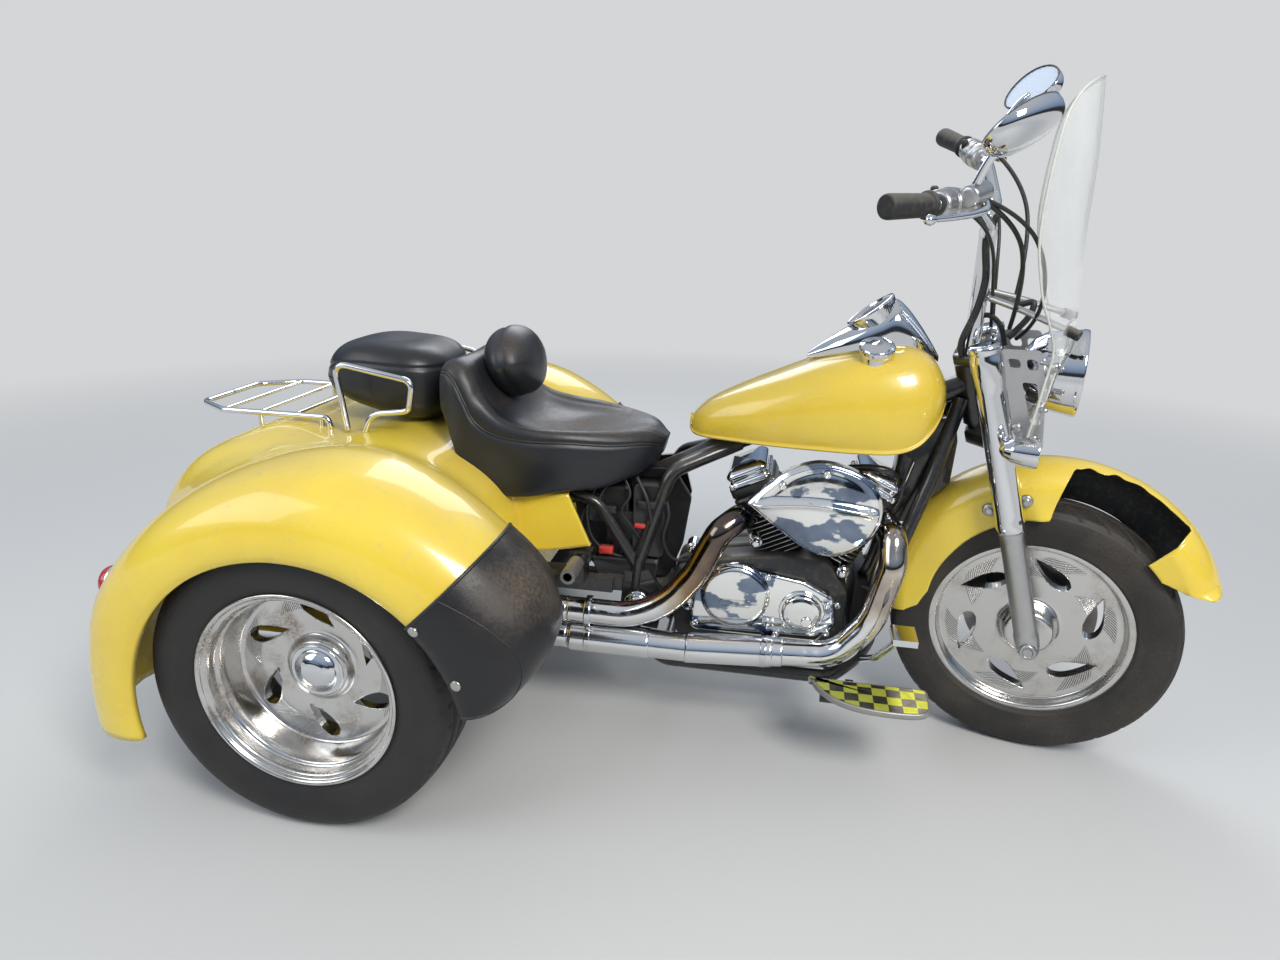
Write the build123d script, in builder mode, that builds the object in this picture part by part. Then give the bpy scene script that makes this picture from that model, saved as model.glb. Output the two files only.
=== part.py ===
# Three-wheeled cruiser motorcycle: a V-twin with a two-wheeled glass-fibre rear body.
# Millimetres. X forward, Y to the rider's left, Z up, z = 0 on the floor.
# While it is built, x = 0 is the rear axle. The last section moves all to the middle of the length.

import os
from math import cos, radians, sin, tan

from build123d import *

os.makedirs("parts", exist_ok=True)

# Driving dimensions
WHEELBASE = 1490.0
REAR_TYRE_R = 313.0
REAR_TYRE_W = 205.0
REAR_TYRE_Y = 556.0
REAR_LIP_R = 208.0
REAR_RIM_HALF = 95.0
FRONT_TYRE_R = 312.0
FRONT_TYRE_W = 120.0
FRONT_LIP_R = 232.0
FRONT_RIM_HALF = 44.0

RAKE = 16.0
FORK_OFFSET = 42.0
FORK_HALF = 110.0
FORK_TOP_Z = 968.0
STEER_REST = -14.0
BAR_TILT = 7.5

BODY_WALL = 6.0
BODY_HALF = 360.0
ARCH_R = 342.0
ARCH_X = 22.0
ARCH_Z = 262.0

CRANK_X = 960.0
CRANK_Z = 340.0
CYLINDER_TILT = 26.0
PIPE_R = 25.0
TUBE_R = 16.0
CRADLE_HALF = 110.0

SEAT_GAP = 0.3
CLEAR = 0.3
ORIGIN_X = 643.35

# Helpers


def tube(points, bends, radius):
    """A round bar along straight runs joined by tangent arcs."""
    with BuildPart(mode=Mode.PRIVATE) as bar:
        with BuildLine() as route:
            if len(points) > 2:
                FilletPolyline(*points, radius=bends)
            else:
                Line(*points)
        with BuildSketch(Plane(origin=route.line @ 0, z_dir=route.line % 0)):
            Circle(radius)
        sweep()
    return bar.part


def rod(start, end, radius):
    """A straight round bar from one point to another."""
    return tube([start, end], 0, radius)


def block(low, high):
    """A box between two corners."""
    size = [b - a for a, b in zip(low, high)]
    middle = [(a + b) / 2 for a, b in zip(low, high)]
    return Pos(*middle) * Box(*size, mode=Mode.PRIVATE)


def turned(points, centre, axis_dir=(0, 1, 0), across=(0, 1, 0), out=(0, 0, 1)):
    """A ring turned about an axis from (along the axis, radius) corners."""
    plane = Plane(origin=centre, x_dir=across, z_dir=Vector(*across).cross(Vector(*out)))
    with BuildPart(mode=Mode.PRIVATE) as ring:
        with BuildSketch(plane):
            with BuildLine():
                Polyline(*points, close=True)
            make_face()
        revolve(axis=Axis(centre, axis_dir))
    return ring.part


def side_slab(points, low_y, high_y):
    """A slab with an outline of (x, z) corners seen from the right, between two y values."""
    with BuildPart(mode=Mode.PRIVATE) as slab:
        with BuildSketch(Plane.XZ.offset(-high_y)):
            with BuildLine():
                Polyline(*points, close=True)
            make_face()
        extrude(amount=high_y - low_y)
    return slab.part


def mirrored(piece):
    """The same piece on the other side."""
    return piece.mirror(Plane.XZ)


# Steering axis and the frame of everything that turns with the fork
AXLE_AHEAD = FORK_OFFSET / cos(radians(RAKE))
AXIS_X = WHEELBASE - AXLE_AHEAD
STEER_UP = (-sin(radians(RAKE)), 0, cos(radians(RAKE)))
STEER_FORE = (cos(radians(RAKE)), 0, sin(radians(RAKE)))
STEER_AXIS = Axis((AXIS_X, 0, FRONT_TYRE_R), STEER_UP)


def axis_x(z):
    """Where the steering axis is at a height."""
    return AXIS_X - (z - FRONT_TYRE_R) * tan(radians(RAKE))


def at_axis(fore, side, z):
    """A point by its level distance ahead of the steering axis, its side and its height."""
    return (axis_x(z) + fore, side, z)


def on_fork(fore, side, up):
    """A point by its distance ahead of the axis, its side and its distance up the leg."""
    return tuple(a + fore * f + up * u + s for a, f, u, s in
                 zip((AXIS_X, 0, FRONT_TYRE_R), STEER_FORE, STEER_UP, (0, side, 0)))


LEG_TOP = (FORK_TOP_Z - FRONT_TYRE_R) / cos(radians(RAKE))
UPPER_YOKE = LEG_TOP - 40
LOWER_YOKE = LEG_TOP - 215
HEAD_LOW = LOWER_YOKE + 26
HEAD_HIGH = UPPER_YOKE - 18
STEM_R = 20.0
STEM_GAP = 0.06

# Frame: head tube, backbone, twin cradle, seat rails and pivot plates
head = [on_fork(0, 0, HEAD_LOW), on_fork(0, 0, HEAD_HIGH)]
backbone = [on_fork(-10, 0, HEAD_HIGH - 45), (1060, 0, 770), (820, 0, 725), (520, 0, 560)]
with BuildPart() as frame:
    add(rod(head[0], head[1], 32))
    add(tube(backbone, [160, 200], 26))
    for side in (1, -1):
        y = side * CRADLE_HALF
        down = [on_fork(-30, side * 18, HEAD_LOW + 60), (1214, side * 62, 650), (1144, y, 450),
                (1112, y, 240), (1040, y, 165), (640, y, 165), (560, y, 240), (574, y, 420),
                (640, side * 90, 640), (790, side * 24, 700)]
        add(tube(down, [60, 90, 160, 55, 55, 60, 60, 60], TUBE_R))
        add(tube([(574, y, 400), (470, y, 560), (200, side * 100, 620)], [60], 13))
        add(side_slab([(530, 260), (625, 250), (640, 330), (600, 400), (540, 390)],
                      y - 12, y + 12))
        add(rod((576, y, 320), (576, y + side * 24, 320), 20))
    for x, z in ((1040, 165), (640, 165), (560, 384)):
        add(rod((x, -CRADLE_HALF, z), (x, CRADLE_HALF, z), 13))
    add(block((450, -100, 548), (486, 100, 572)))
    add(rod(on_fork(0, 0, HEAD_LOW - 5), on_fork(0, 0, HEAD_HIGH + 5), STEM_R + STEM_GAP), mode=Mode.SUBTRACT)

# Rear carrier: two box-section arms from the pivot plates back to the axle, with shock absorbers
ARM_HALF = 144.0
TRUNK_FLOOR = 440.0
AXLE_TUBE_R = 36.0
with BuildPart() as rear_carrier:
    for side in (1, -1):
        y = side * ARM_HALF
        add(side_slab([(-290, 352), (-290, 384), (520, 384), (520, 352)], y - 16, y + 16))
        add(block((-280, y - 16, 384), (-240, y + 16, TRUNK_FLOOR - BODY_WALL)))
        add(block((500, min(y, side * 122), 352), (540, max(y, side * 122), 384)))
        add(block((-30, y - 16, 330), (30, y + 16, 353)))
        add(rod((-40, y, 384), (150, y, 560), 22))
        add(rod((-20, y, 400), (90, y, 505), 32))
    add(block((140, -ARM_HALF - 16, 548), (172, ARM_HALF + 16, 580)))
    add(block((200, -ARM_HALF, 352), (232, ARM_HALF, 384)))
    add(rod((0, -200, REAR_TYRE_R), (0, 200, REAR_TYRE_R), AXLE_TUBE_R), mode=Mode.SUBTRACT)

# Rear axle housing with its differential, and the shaft that drives it
HUB_FACE = REAR_TYRE_Y - 60
HOUSING_END = HUB_FACE - 6
STUB_R = 20.0
with BuildPart() as axle_housing:
    add(turned([(-118, 0), (-118, 42), (-70, 92), (70, 92), (118, 42), (118, 0)],
               (0, 0, REAR_TYRE_R)))
    add(rod((0, -HOUSING_END, REAR_TYRE_R), (0, HOUSING_END, REAR_TYRE_R), AXLE_TUBE_R))
    for side in (1, -1):
        add(rod((0, side * (HOUSING_END - 16), REAR_TYRE_R), (0, side * HOUSING_END, REAR_TYRE_R), 62))
        add(rod((0, side * HOUSING_END, REAR_TYRE_R), (0, side * (HUB_FACE + 40), REAR_TYRE_R), STUB_R))
    add(rod((80, 0, REAR_TYRE_R), (150, 0, REAR_TYRE_R), 42))

with BuildPart() as drive_shaft:
    add(rod((150, 0, REAR_TYRE_R), (640, 0, REAR_TYRE_R), 27))
    add(rod((570, 0, REAR_TYRE_R), (640, 0, REAR_TYRE_R), 40))

# Rear wheels
HUB_R = 62.0
WINDOWS = 6


def rear_rim(side):
    """Deep-dish rim: barrel with two lips, a disc with six windows, and a hub with a domed cap."""
    centre = (0, side * REAR_TYRE_Y, REAR_TYRE_R)
    across = (0, side, 0)
    w = REAR_RIM_HALF
    barrel = [(-w, REAR_LIP_R), (-w + 8, REAR_LIP_R), (-w + 10, 191), (w - 10, 191), (w - 8, REAR_LIP_R),
              (w, REAR_LIP_R), (w, REAR_LIP_R - 6), (w - 6, 186), (w - 40, 176), (-5, 172), (-5, 130),
              (-12, 70), (6, 60), (6, 54), (18, 44), (24, 26), (26, 0), (-20, 0), (-20, 22),
              (-60, 22), (-60, HUB_R), (-34, HUB_R), (-24, 130), (-24, 178), (-w, 184)]
    ring = turned(barrel, centre, (0, 1, 0), across, (0, 0, 1))
    with BuildPart(mode=Mode.PRIVATE) as rim:
        add(ring)
        plane = Plane(origin=(0, side * (REAR_TYRE_Y + 20), REAR_TYRE_R), x_dir=(1, 0, 0),
                      z_dir=(0, -side, 0))
        with BuildSketch(plane):
            with PolarLocations(122, WINDOWS, start_angle=40):
                SlotOverall(72, 30, rotation=62)
        extrude(amount=60, mode=Mode.SUBTRACT)
    return rim.part


def tyre(side_y, centre_x, radius, width, bead_r, rim_half, lip_r):
    """A tyre as a closed ring from bead to bead."""
    w = width / 2
    plane = Plane(origin=(centre_x, side_y, radius), x_dir=(0, 1, 0), z_dir=(1, 0, 0))
    mid = (radius + lip_r) / 2 + 4
    with BuildPart(mode=Mode.PRIVATE) as ring:
        with BuildSketch(plane):
            with BuildLine():
                Polyline((-w * 0.8, radius - 16), (-w, mid), (-rim_half + 4, lip_r + 4),
                         (-rim_half + 11, lip_r), (-rim_half + 11, bead_r), (rim_half - 11, bead_r),
                         (rim_half - 11, lip_r),
                         (rim_half - 4, lip_r + 4), (w, mid), (w * 0.8, radius - 16))
                ThreePointArc((w * 0.8, radius - 16), (0, radius), (-w * 0.8, radius - 16))
            make_face()
        revolve(axis=Axis((centre_x, side_y, radius), (0, 1, 0)))
    return ring.part


with BuildPart() as rear_rim_right:
    add(rear_rim(-1))
with BuildPart() as rear_rim_left:
    add(rear_rim(1))
with BuildPart() as rear_tyre_right:
    add(tyre(-REAR_TYRE_Y, 0, REAR_TYRE_R, REAR_TYRE_W, 191, REAR_RIM_HALF, REAR_LIP_R))
with BuildPart() as rear_tyre_left:
    add(tyre(REAR_TYRE_Y, 0, REAR_TYRE_R, REAR_TYRE_W, 191, REAR_RIM_HALF, REAR_LIP_R))

# Engine: crankcase block, two finned cylinders, head covers, side covers, air cleaner
CASE_HALF = 105.0
with BuildPart() as engine:
    with BuildSketch(Plane.XZ.offset(-CASE_HALF)):
        with BuildLine():
            Polyline((665, 240), (720, 205), (1010, 205), (1060, 260), (1062, 380), (1010, 455),
                     (900, 462), (760, 440), (650, 380), close=True)
        make_face()
    extrude(amount=2 * CASE_HALF)
    fillet(engine.edges().filter_by(Axis.Y), 18)
    for x in (700, 960):
        add(block((x, -118, 172), (x + 40, 118, 212)))
    add(frame.part, mode=Mode.SUBTRACT)

FIN_PITCH = 11.0
FIN_COUNT = 11
FIN_START = 128.0
HEAD_START = FIN_START + FIN_COUNT * FIN_PITCH
HEAD_HIGH_Z = 62.0
COVER_HIGH = 44.0


def along(sign):
    """A plane square to one cylinder, at the crankshaft."""
    a = radians(CYLINDER_TILT)
    return Plane(origin=(CRANK_X, 0, CRANK_Z), x_dir=(cos(a), 0, -sign * sin(a)),
                 z_dir=(sign * sin(a), 0, cos(a)))


with BuildPart() as cylinders:
    for sign in (1, -1):
        base = along(sign)
        with BuildSketch(base.offset(110)):
            RectangleRounded(92, 120, 30)
        extrude(amount=HEAD_START - 110 + HEAD_HIGH_Z)
        for n in range(FIN_COUNT):
            with BuildSketch(base.offset(FIN_START + n * FIN_PITCH)):
                RectangleRounded(118, 148, 30)
            extrude(amount=4)
        with BuildSketch(base.offset(HEAD_START)):
            RectangleRounded(112, 150, 20)
        extrude(amount=HEAD_HIGH_Z)
    add(engine.part, mode=Mode.SUBTRACT)

with BuildPart() as head_covers:
    for sign in (1, -1):
        with BuildSketch(along(sign).offset(HEAD_START + HEAD_HIGH_Z)):
            RectangleRounded(104, 160, 22)
        extrude(amount=COVER_HIGH, taper=14)

COVER_IN = CASE_HALF
with BuildPart() as right_cover:
    with BuildSketch(Plane.XZ.offset(COVER_IN)):
        with BuildLine():
            Polyline((700, 262), (712, 395), (800, 440), (960, 415), (1030, 380), (1038, 310), (1000, 262),
                     close=True)
        make_face()
    extrude(amount=28)
    with BuildSketch(Plane.XZ.offset(COVER_IN)):
        with Locations((806, 366)):
            Circle(80)
    extrude(amount=46)
    with BuildSketch(Plane.XZ.offset(COVER_IN)):
        with Locations((CRANK_X, CRANK_Z)):
            Circle(50)
    extrude(amount=42)

with BuildPart() as left_cover:
    with BuildSketch(Plane.XZ.offset(-COVER_IN)):
        with Locations((CRANK_X, CRANK_Z)):
            Circle(92)
    extrude(amount=-48)
    with BuildSketch(Plane.XZ.offset(-COVER_IN)):
        with Locations((745, 340)):
            Circle(70)
    extrude(amount=-36)

with BuildPart() as air_cleaner:
    with BuildSketch(Plane.XZ.offset(132)):
        with BuildLine():
            l1 = Line((822, 606), (905, 688))
            a1 = ThreePointArc(l1 @ 1, (970, 706), (1040, 692))
            a2 = ThreePointArc(a1 @ 1, (1106, 618), (1060, 520))
            a3 = ThreePointArc(a2 @ 1, (1010, 500), (950, 516))
            Line(a3 @ 1, l1 @ 0)
        make_face()
    extrude(amount=58)
    fillet(air_cleaner.faces().sort_by(Axis.Y)[0].edges(), 14)
    with BuildSketch(Plane.XZ.offset(60)):
        with Locations((975, 600)):
            Circle(42)
    extrude(amount=75)
    for x in (870, 1062):
        add(rod((975, -85, 600), (x, -40, 592), 20))
    add(cylinders.part, mode=Mode.SUBTRACT)

with BuildPart() as radiator:
    add(side_slab([(1070, 228), (1098, 225), (1106, 412), (1078, 414)], -88, 88))
    for side in (1, -1):
        for x, z in ((1090, 258), (1096, 396)):
            add(rod((x, side * 84, z), (x + 34, side * 108, z), 6))
    add(frame.part, mode=Mode.SUBTRACT)

# Exhaust: two headers on the right, joined into two pipes that run back under the rear body
PIPE_Y = -177.0
front_header = [(1118, -60, 560), (1140, -150, 548), (1142, PIPE_Y, 490), (1112, PIPE_Y, 352),
                (1040, PIPE_Y, 262), (700, PIPE_Y, 240), (420, PIPE_Y, 240)]
rear_header = [(822, -60, 545), (800, -150, 560), (764, PIPE_Y, 535), (716, PIPE_Y, 430),
               (650, PIPE_Y, 340), (560, PIPE_Y, 308), (420, PIPE_Y, 308)]
with BuildPart() as exhaust_pipes:
    add(tube(front_header, [26, 40, 90, 80, 200], PIPE_R))
    add(tube(rear_header, [26, 40, 80, 80, 90], PIPE_R))
    add(cylinders.part, mode=Mode.SUBTRACT)
with BuildPart() as mufflers:
    add(tube([(420, PIPE_Y, 308), (360, PIPE_Y, 308), (250, -190, 225), (120, -190, 218)], [60, 80], 28))
    add(tube([(420, PIPE_Y, 240), (360, PIPE_Y, 240), (250, -262, 222), (120, -262, 218)], [60, 80], 28))
    for y in (-190, -262):
        add(rod((120, y, 218), (-420, y, 218), 34))

# Electrics under the seat, and the cover that is still on the left
with BuildPart() as electrics_box:
    add(block((492, -91, 404), (556, 91, 532)))
    add(block((508, -18, 530), (530, 18, 550)))
    add(frame.part, mode=Mode.SUBTRACT)
with BuildPart() as left_side_cover:
    add(side_slab([(506, 430), (506, 600), (640, 620), (668, 520), (640, 420)], 128, 140))
    add(rod((580, 116, 450), (580, 130, 450), 7))
    add(rod((620, 100, 590), (620, 130, 590), 7))
    add(frame.part, mode=Mode.SUBTRACT)


# Rear body: shell of a centre tail and two fenders
FENDER_SIDE = [(-470, 188), (-462, 300), (-440, 420), (-385, 540), (-300, 640), (-190, 706), (-60, 742),
               (90, 752), (240, 735), (360, 694), (450, 625), (505, 530), (505, 470), (450, 375), (360, 312)]
FENDER_HUB = Vector(20, 0, 330)
# Sections across the fender, from the valley beside the tail to the rolled edge:
# y, and how far the outline has drawn in there
FENDER_ACROSS = [(300, 84), (390, 40), (450, 10), (540, 0), (610, 10), (660, 34), (688, 66), (700, 96)]


def fender_outline(draw_in, drop):
    """The fender's side outline drawn in towards its hub, with its open underside lowered."""
    corners = []
    for x, z in FENDER_SIDE:
        spoke = Vector(x, 0, z) - FENDER_HUB
        spot = FENDER_HUB + spoke.normalized() * (spoke.length - draw_in)
        corners.append((spot.X, spot.Z))
    first, last = corners[0], corners[-1]
    corners[0] = (first[0], first[1] - drop)
    corners[-1] = (last[0], last[1] - drop)
    return corners


def fender_solid(side, inset):
    """One fender as a solid, or the hollow inside it when inset is the wall."""
    drop = 250 if inset > 0 else 0
    with BuildPart(mode=Mode.PRIVATE) as half:
        for y, draw_in in FENDER_ACROSS:
            with BuildSketch(Plane.XZ.offset(y - (inset if y > 400 else -inset))):
                with BuildLine():
                    Polyline(*fender_outline(draw_in + inset, drop), close=True)
                make_face()
        loft(ruled=True)
    return half.part if side < 0 else mirrored(half.part)


def tail_solid(inset):
    """The centre tail and the saddle that runs forward under the seat."""
    i = inset
    drop = 400 if i > 0 else 0
    with BuildPart(mode=Mode.PRIVATE) as centre:
        with BuildSketch(Plane.XZ.offset(BODY_HALF - i)):
            with BuildLine():
                Polyline((-525 + i, 300 - drop), (-522 + i, 480), (-478 + i * 0.8, 590 - i * 0.4),
                         (-420 + i * 0.5, 652 - i * 0.8), (-300, 702 - i), (-120, 714 - i), (120, 706 - i),
                         (250 - i * 0.6, 640 - i), (300 - i, 440), (300 - i, 300 - drop), close=True)
            make_face()
        extrude(amount=-2 * (BODY_HALF - i))
    with BuildPart(mode=Mode.PRIVATE) as saddle:
        with BuildSketch(Plane.XZ.offset(168 - i)):
            with BuildLine():
                Polyline((100, 440 - drop), (100, 712 - i), (260, 690 - i), (400, 640 - i),
                         (462 - i, 628 - i), (500 - i, 520), (480 - i, 500 - drop), close=True)
            make_face()
        extrude(amount=-2 * (168 - i))
    return centre.part + saddle.part


outer_body = tail_solid(0) + fender_solid(1, 0) + fender_solid(-1, 0)
inner_body = tail_solid(BODY_WALL) + fender_solid(1, BODY_WALL) + fender_solid(-1, BODY_WALL)
LID_HALF = 270.0
LID_LOW = 446.0
LID_HIGH = 640.0
LID_HINGE_X = -446.0
LID_HINGE_Z = 643.0
with BuildPart() as trike_body:
    add(outer_body)
    add(inner_body, mode=Mode.SUBTRACT)
    for side in (1, -1):
        add(rod((ARCH_X, side * 640, ARCH_Z), (ARCH_X, side * 720, ARCH_Z), ARCH_R), mode=Mode.SUBTRACT)
        low = TRUNK_FLOOR - BODY_WALL
        add(side_slab([(-540, low), (-540, 720), (290, 720), (290, low)],
                      side * 357 - 3, side * 357 + 3) & outer_body)
    add(block((-570, -BODY_HALF, TRUNK_FLOOR - BODY_WALL), (-60, BODY_HALF, TRUNK_FLOOR)) & outer_body)
    add(block((-66, -BODY_HALF, TRUNK_FLOOR), (-60, BODY_HALF, 720)) & outer_body)
    add(block((-700, -LID_HALF, LID_LOW), (-440, LID_HALF, LID_HIGH)), mode=Mode.SUBTRACT)
    add(block((440, -162, 300), (520, 162, 618)), mode=Mode.SUBTRACT)
    for y in (-216, 191):
        add(rod((LID_HINGE_X, y, LID_HINGE_Z), (LID_HINGE_X, y + 25, LID_HINGE_Z), 5))
        add(block((LID_HINGE_X, y + 3, LID_HINGE_Z - 3), (LID_HINGE_X + 28, y + 22, LID_HINGE_Z + 10)))

# Trunk lid in the tail's rear face, hinged along its top edge
with BuildPart() as trunk_lid:
    lid_zone = block((-700, -LID_HALF + 5, LID_LOW + 5), (-440, LID_HALF - 5, LID_HIGH - 5))
    add((tail_solid(0) - tail_solid(BODY_WALL)) & lid_zone)
    for y in (-190, 150):
        add(rod((LID_HINGE_X, y, LID_HINGE_Z), (LID_HINGE_X, y + 40, LID_HINGE_Z), 5))
        add(block((LID_HINGE_X - 6, y + 6, LID_HIGH - 26), (LID_HINGE_X + 6, y + 34, LID_HINGE_Z)))

with BuildPart() as tail_lamps:
    for side in (1, -1):
        add(rod((-482, side * 520, 440), (-420, side * 520, 440), 36))
    add(fender_solid(1, -0.3), mode=Mode.SUBTRACT)
    add(fender_solid(-1, -0.3), mode=Mode.SUBTRACT)

# Vinyl covers over the front of each fender
with BuildPart() as fender_covers:
    for side in (1, -1):
        cover_zone = side_slab([(266, 498), (420, 690), (700, 690), (700, 250), (352, 250)],
                               side * 535 - 172, side * 535 + 172)
        skin = fender_solid(side, -4.0) - fender_solid(side, -0.8)
        add(skin & cover_zone)

# Luggage rack and grab rails
RACK_R = 7.0
RACK_Z = 770.0
with BuildPart() as luggage_rack:
    add(tube([(-232, -60, RACK_Z), (-250, -170, RACK_Z), (-440, -170, RACK_Z), (-535, -110, RACK_Z),
              (-535, 110, RACK_Z), (-440, 170, RACK_Z), (-250, 170, RACK_Z), (-232, 60, RACK_Z)],
             [25, 60, 40, 40, 60, 25], RACK_R))
    for x in (-280, -360, -440):
        add(rod((x, -168, RACK_Z), (x, 168, RACK_Z), 5))
    for x, z in ((-400, 661), (-262, 705)):
        for side in (1, -1):
            add(rod((x, side * 168, RACK_Z), (x, side * 168, z), 5))
            add(rod((x, side * 168, z + 8), (x, side * 168, z), 11))
    add(tail_solid(-SEAT_GAP), mode=Mode.SUBTRACT)
with BuildPart() as grab_rails:
    for side in (1, -1):
        y = side * 205
        add(tube([(-120, y, 714.3), (-110, y, 800), (-112, y, 868), (70, y, 838), (60, y, 770), (-30, y, 745),
                  (-50, y, 712.3)], [20, 25, 25, 25, 20], 7))
    add(tail_solid(-SEAT_GAP), mode=Mode.SUBTRACT)

# Seats
with BuildPart() as rider_seat:
    with BuildSketch(Plane.XZ.offset(205)):
        with BuildLine():
            Polyline((612, 706), (548, 735), (450, 722), (340, 728), (262, 745), (214, 800), (170, 892),
                     (104, 900), (80, 850), (90, 720), (190, 600), (300, 580), (480, 618), (580, 680),
                     close=True)
        make_face()
    extrude(amount=-410)
    with BuildSketch(Plane.XY):
        with BuildLine():
            Polyline((620, -50), (560, -105), (400, -190), (300, -205), (60, -205), (60, 205), (300, 205),
                     (400, 190), (560, 105), (620, 50), close=True)
        make_face()
    extrude(amount=1000, mode=Mode.INTERSECT)
    add(tail_solid(-SEAT_GAP), mode=Mode.SUBTRACT)

with BuildPart() as pillion_seat:
    with BuildSketch(Plane.XZ.offset(150)):
        with BuildLine():
            Polyline((74, 900), (-40, 922), (-160, 905), (-215, 860), (-205, 790), (-120, 714.6), (80, 708),
                     close=True)
        make_face()
    extrude(amount=-300)
    add(rider_seat.part, mode=Mode.SUBTRACT)
    add(tail_solid(-SEAT_GAP), mode=Mode.SUBTRACT)

with BuildPart() as rider_backrest:
    with BuildSketch(Plane(origin=(270, 0, 872), x_dir=(0, 1, 0), z_dir=(0.94, 0, 0.34))):
        Ellipse(105, 76)
    extrude(amount=36, both=True)
    add(rod((262, 0, 852), (200, 0, 770), 14))
    add(rider_seat.part, mode=Mode.SUBTRACT)

# Fuel tank, its console and cap
TUNNEL_HALF = 38.0
# Sections along the tank: x, half width, height of the seam, height of the crest
TANK_SECTIONS = [
    (676, 26, 712, 738), (730, 70, 714, 790), (850, 116, 716, 866), (990, 139, 718, 922),
    (1110, 142, 721, 945), (1190, 116, 728, 926), (1232, 58, 752, 868),
]
with BuildPart() as fuel_tank:
    for x, half, seam, crest in TANK_SECTIONS:
        tall = crest - seam
        with BuildSketch(Plane(origin=(x, 0, seam), x_dir=(0, 1, 0), z_dir=(1, 0, 0))):
            with BuildLine():
                a1 = ThreePointArc((-half * 0.9, 0), (-half, tall * 0.3), (-half * 0.72, tall * 0.72))
                a2 = ThreePointArc(a1 @ 1, (0, tall), (half * 0.72, tall * 0.72))
                a3 = ThreePointArc(a2 @ 1, (half, tall * 0.3), (half * 0.9, 0))
                Line(a3 @ 1, a1 @ 0)
            make_face()
    loft()
    add(side_slab([(600, 600), (600, 770), (900, 792), (1300, 915), (1300, 600)], -TUNNEL_HALF, TUNNEL_HALF),
        mode=Mode.SUBTRACT)
    add(block((860, -TUNNEL_HALF - 0.5, 752), (900, TUNNEL_HALF + 0.5, 805)))
    add(frame.part, mode=Mode.SUBTRACT)

with BuildPart() as tank_console:
    with BuildSketch(Plane.XZ.offset(46)):
        with BuildLine():
            Polyline((930, 916), (975, 975), (1068, 1042), (1115, 1034), (1205, 932), (1180, 925),
                     (1130, 946), (1010, 932), close=True)
        make_face()
    extrude(amount=-92)
    add(rod((1012, 0, 980), (1060, 0, 1012), 5))
    add(fuel_tank.part, mode=Mode.SUBTRACT)

with BuildPart() as filler_cap:
    add(rod((1068, -76, 880), (1068, -96, 956), 32))
    add(fuel_tank.part, mode=Mode.SUBTRACT)

# Foot controls, floorboards and passenger pegs
BOARD_Z = 214.0
BOARD_IN = 226.0
BOARD_OUT = 336.0
BOARD_HINGE_Y = 214.0
BOARD_HINGE_Z = 196.0
PEG_X = 445.0
PEG_Y = 190.0
PEG_PIN_R = 3.0
with BuildPart() as foot_brackets:
    for side in (1, -1):
        for x in (1030, 1085):
            low, high = sorted((side * (CRADLE_HALF + TUBE_R + CLEAR), side * (BOARD_HINGE_Y - 4)))
            add(block((x - 9, low, 158), (x + 9, high, 174)))
        add(rod((1015, side * (BOARD_HINGE_Y - 6), 166), (1195, side * (BOARD_HINGE_Y - 6), 166), 9))
        for x in (1030, 1185):
            add(rod((x, side * (BOARD_HINGE_Y - 6), 166), (x, side * BOARD_HINGE_Y, BOARD_HINGE_Z), 8))
        low, high = sorted((side * 128, side * 172))
        add(block((420, low, 430), (470, high, 450)))
        low, high = sorted((side * 171, side * (PEG_Y + 8)))
        for x in (PEG_X - 12, PEG_X + 7):
            add(block((x, low, 431), (x + 5, high, 449)))
        add(rod((PEG_X - 12, side * PEG_Y, 440), (PEG_X + 12, side * PEG_Y, 440), PEG_PIN_R))
        inner, outer = sorted((side * 138, side * (PEG_Y + 8)))
        add(block((430, inner, 384.1), (460, outer, 432)))

boards = {}
for name, side in (("right", -1), ("left", 1)):
    with BuildPart() as board:
        with BuildSketch(Plane.XY.offset(BOARD_Z)):
            with Locations((1115, side * (BOARD_IN + BOARD_OUT) / 2)):
                RectangleRounded(250, BOARD_OUT - BOARD_IN, 45)
        extrude(amount=15)
        add(rod((1038.3, side * BOARD_HINGE_Y, BOARD_HINGE_Z),
                (1176.7, side * BOARD_HINGE_Y, BOARD_HINGE_Z), 8))
        for x in (1060, 1155):
            add(rod((x, side * (BOARD_IN + 20), BOARD_Z + 2), (x, side * BOARD_HINGE_Y, BOARD_HINGE_Z), 7))
    boards[name] = board
floorboard_right = boards["right"]
floorboard_left = boards["left"]

pegs = {}
for name, side in (("right", -1), ("left", 1)):
    with BuildPart() as peg:
        add(rod((PEG_X - 6.7, side * PEG_Y, 440), (PEG_X + 6.7, side * PEG_Y, 440), 8))
        low, high = sorted((side * PEG_Y, side * (PEG_Y + 16)))
        add(block((PEG_X - 6.7, low, 434), (PEG_X + 6.7, high, 446)))
        add(rod((PEG_X, side * (PEG_Y + 14), 440), (PEG_X, side * (PEG_Y + 95), 440), 17))
        add(rod((PEG_X - 12, side * PEG_Y, 440), (PEG_X + 12, side * PEG_Y, 440), PEG_PIN_R + CLEAR),
            mode=Mode.SUBTRACT)
    pegs[name] = peg
peg_right = pegs["right"]
peg_left = pegs["left"]

with BuildPart() as foot_levers:
    add(tube([(1100, -118, 226), (1120, -240, 300), (1165, -290, 384)], [40], 8))
    add(block((1140, -320, 376), (1190, -252, 390)))
    add(tube([(1100, 118, 226), (1120, 240, 300), (1165, 290, 384)], [40], 8))
    add(frame.part, mode=Mode.SUBTRACT)

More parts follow.
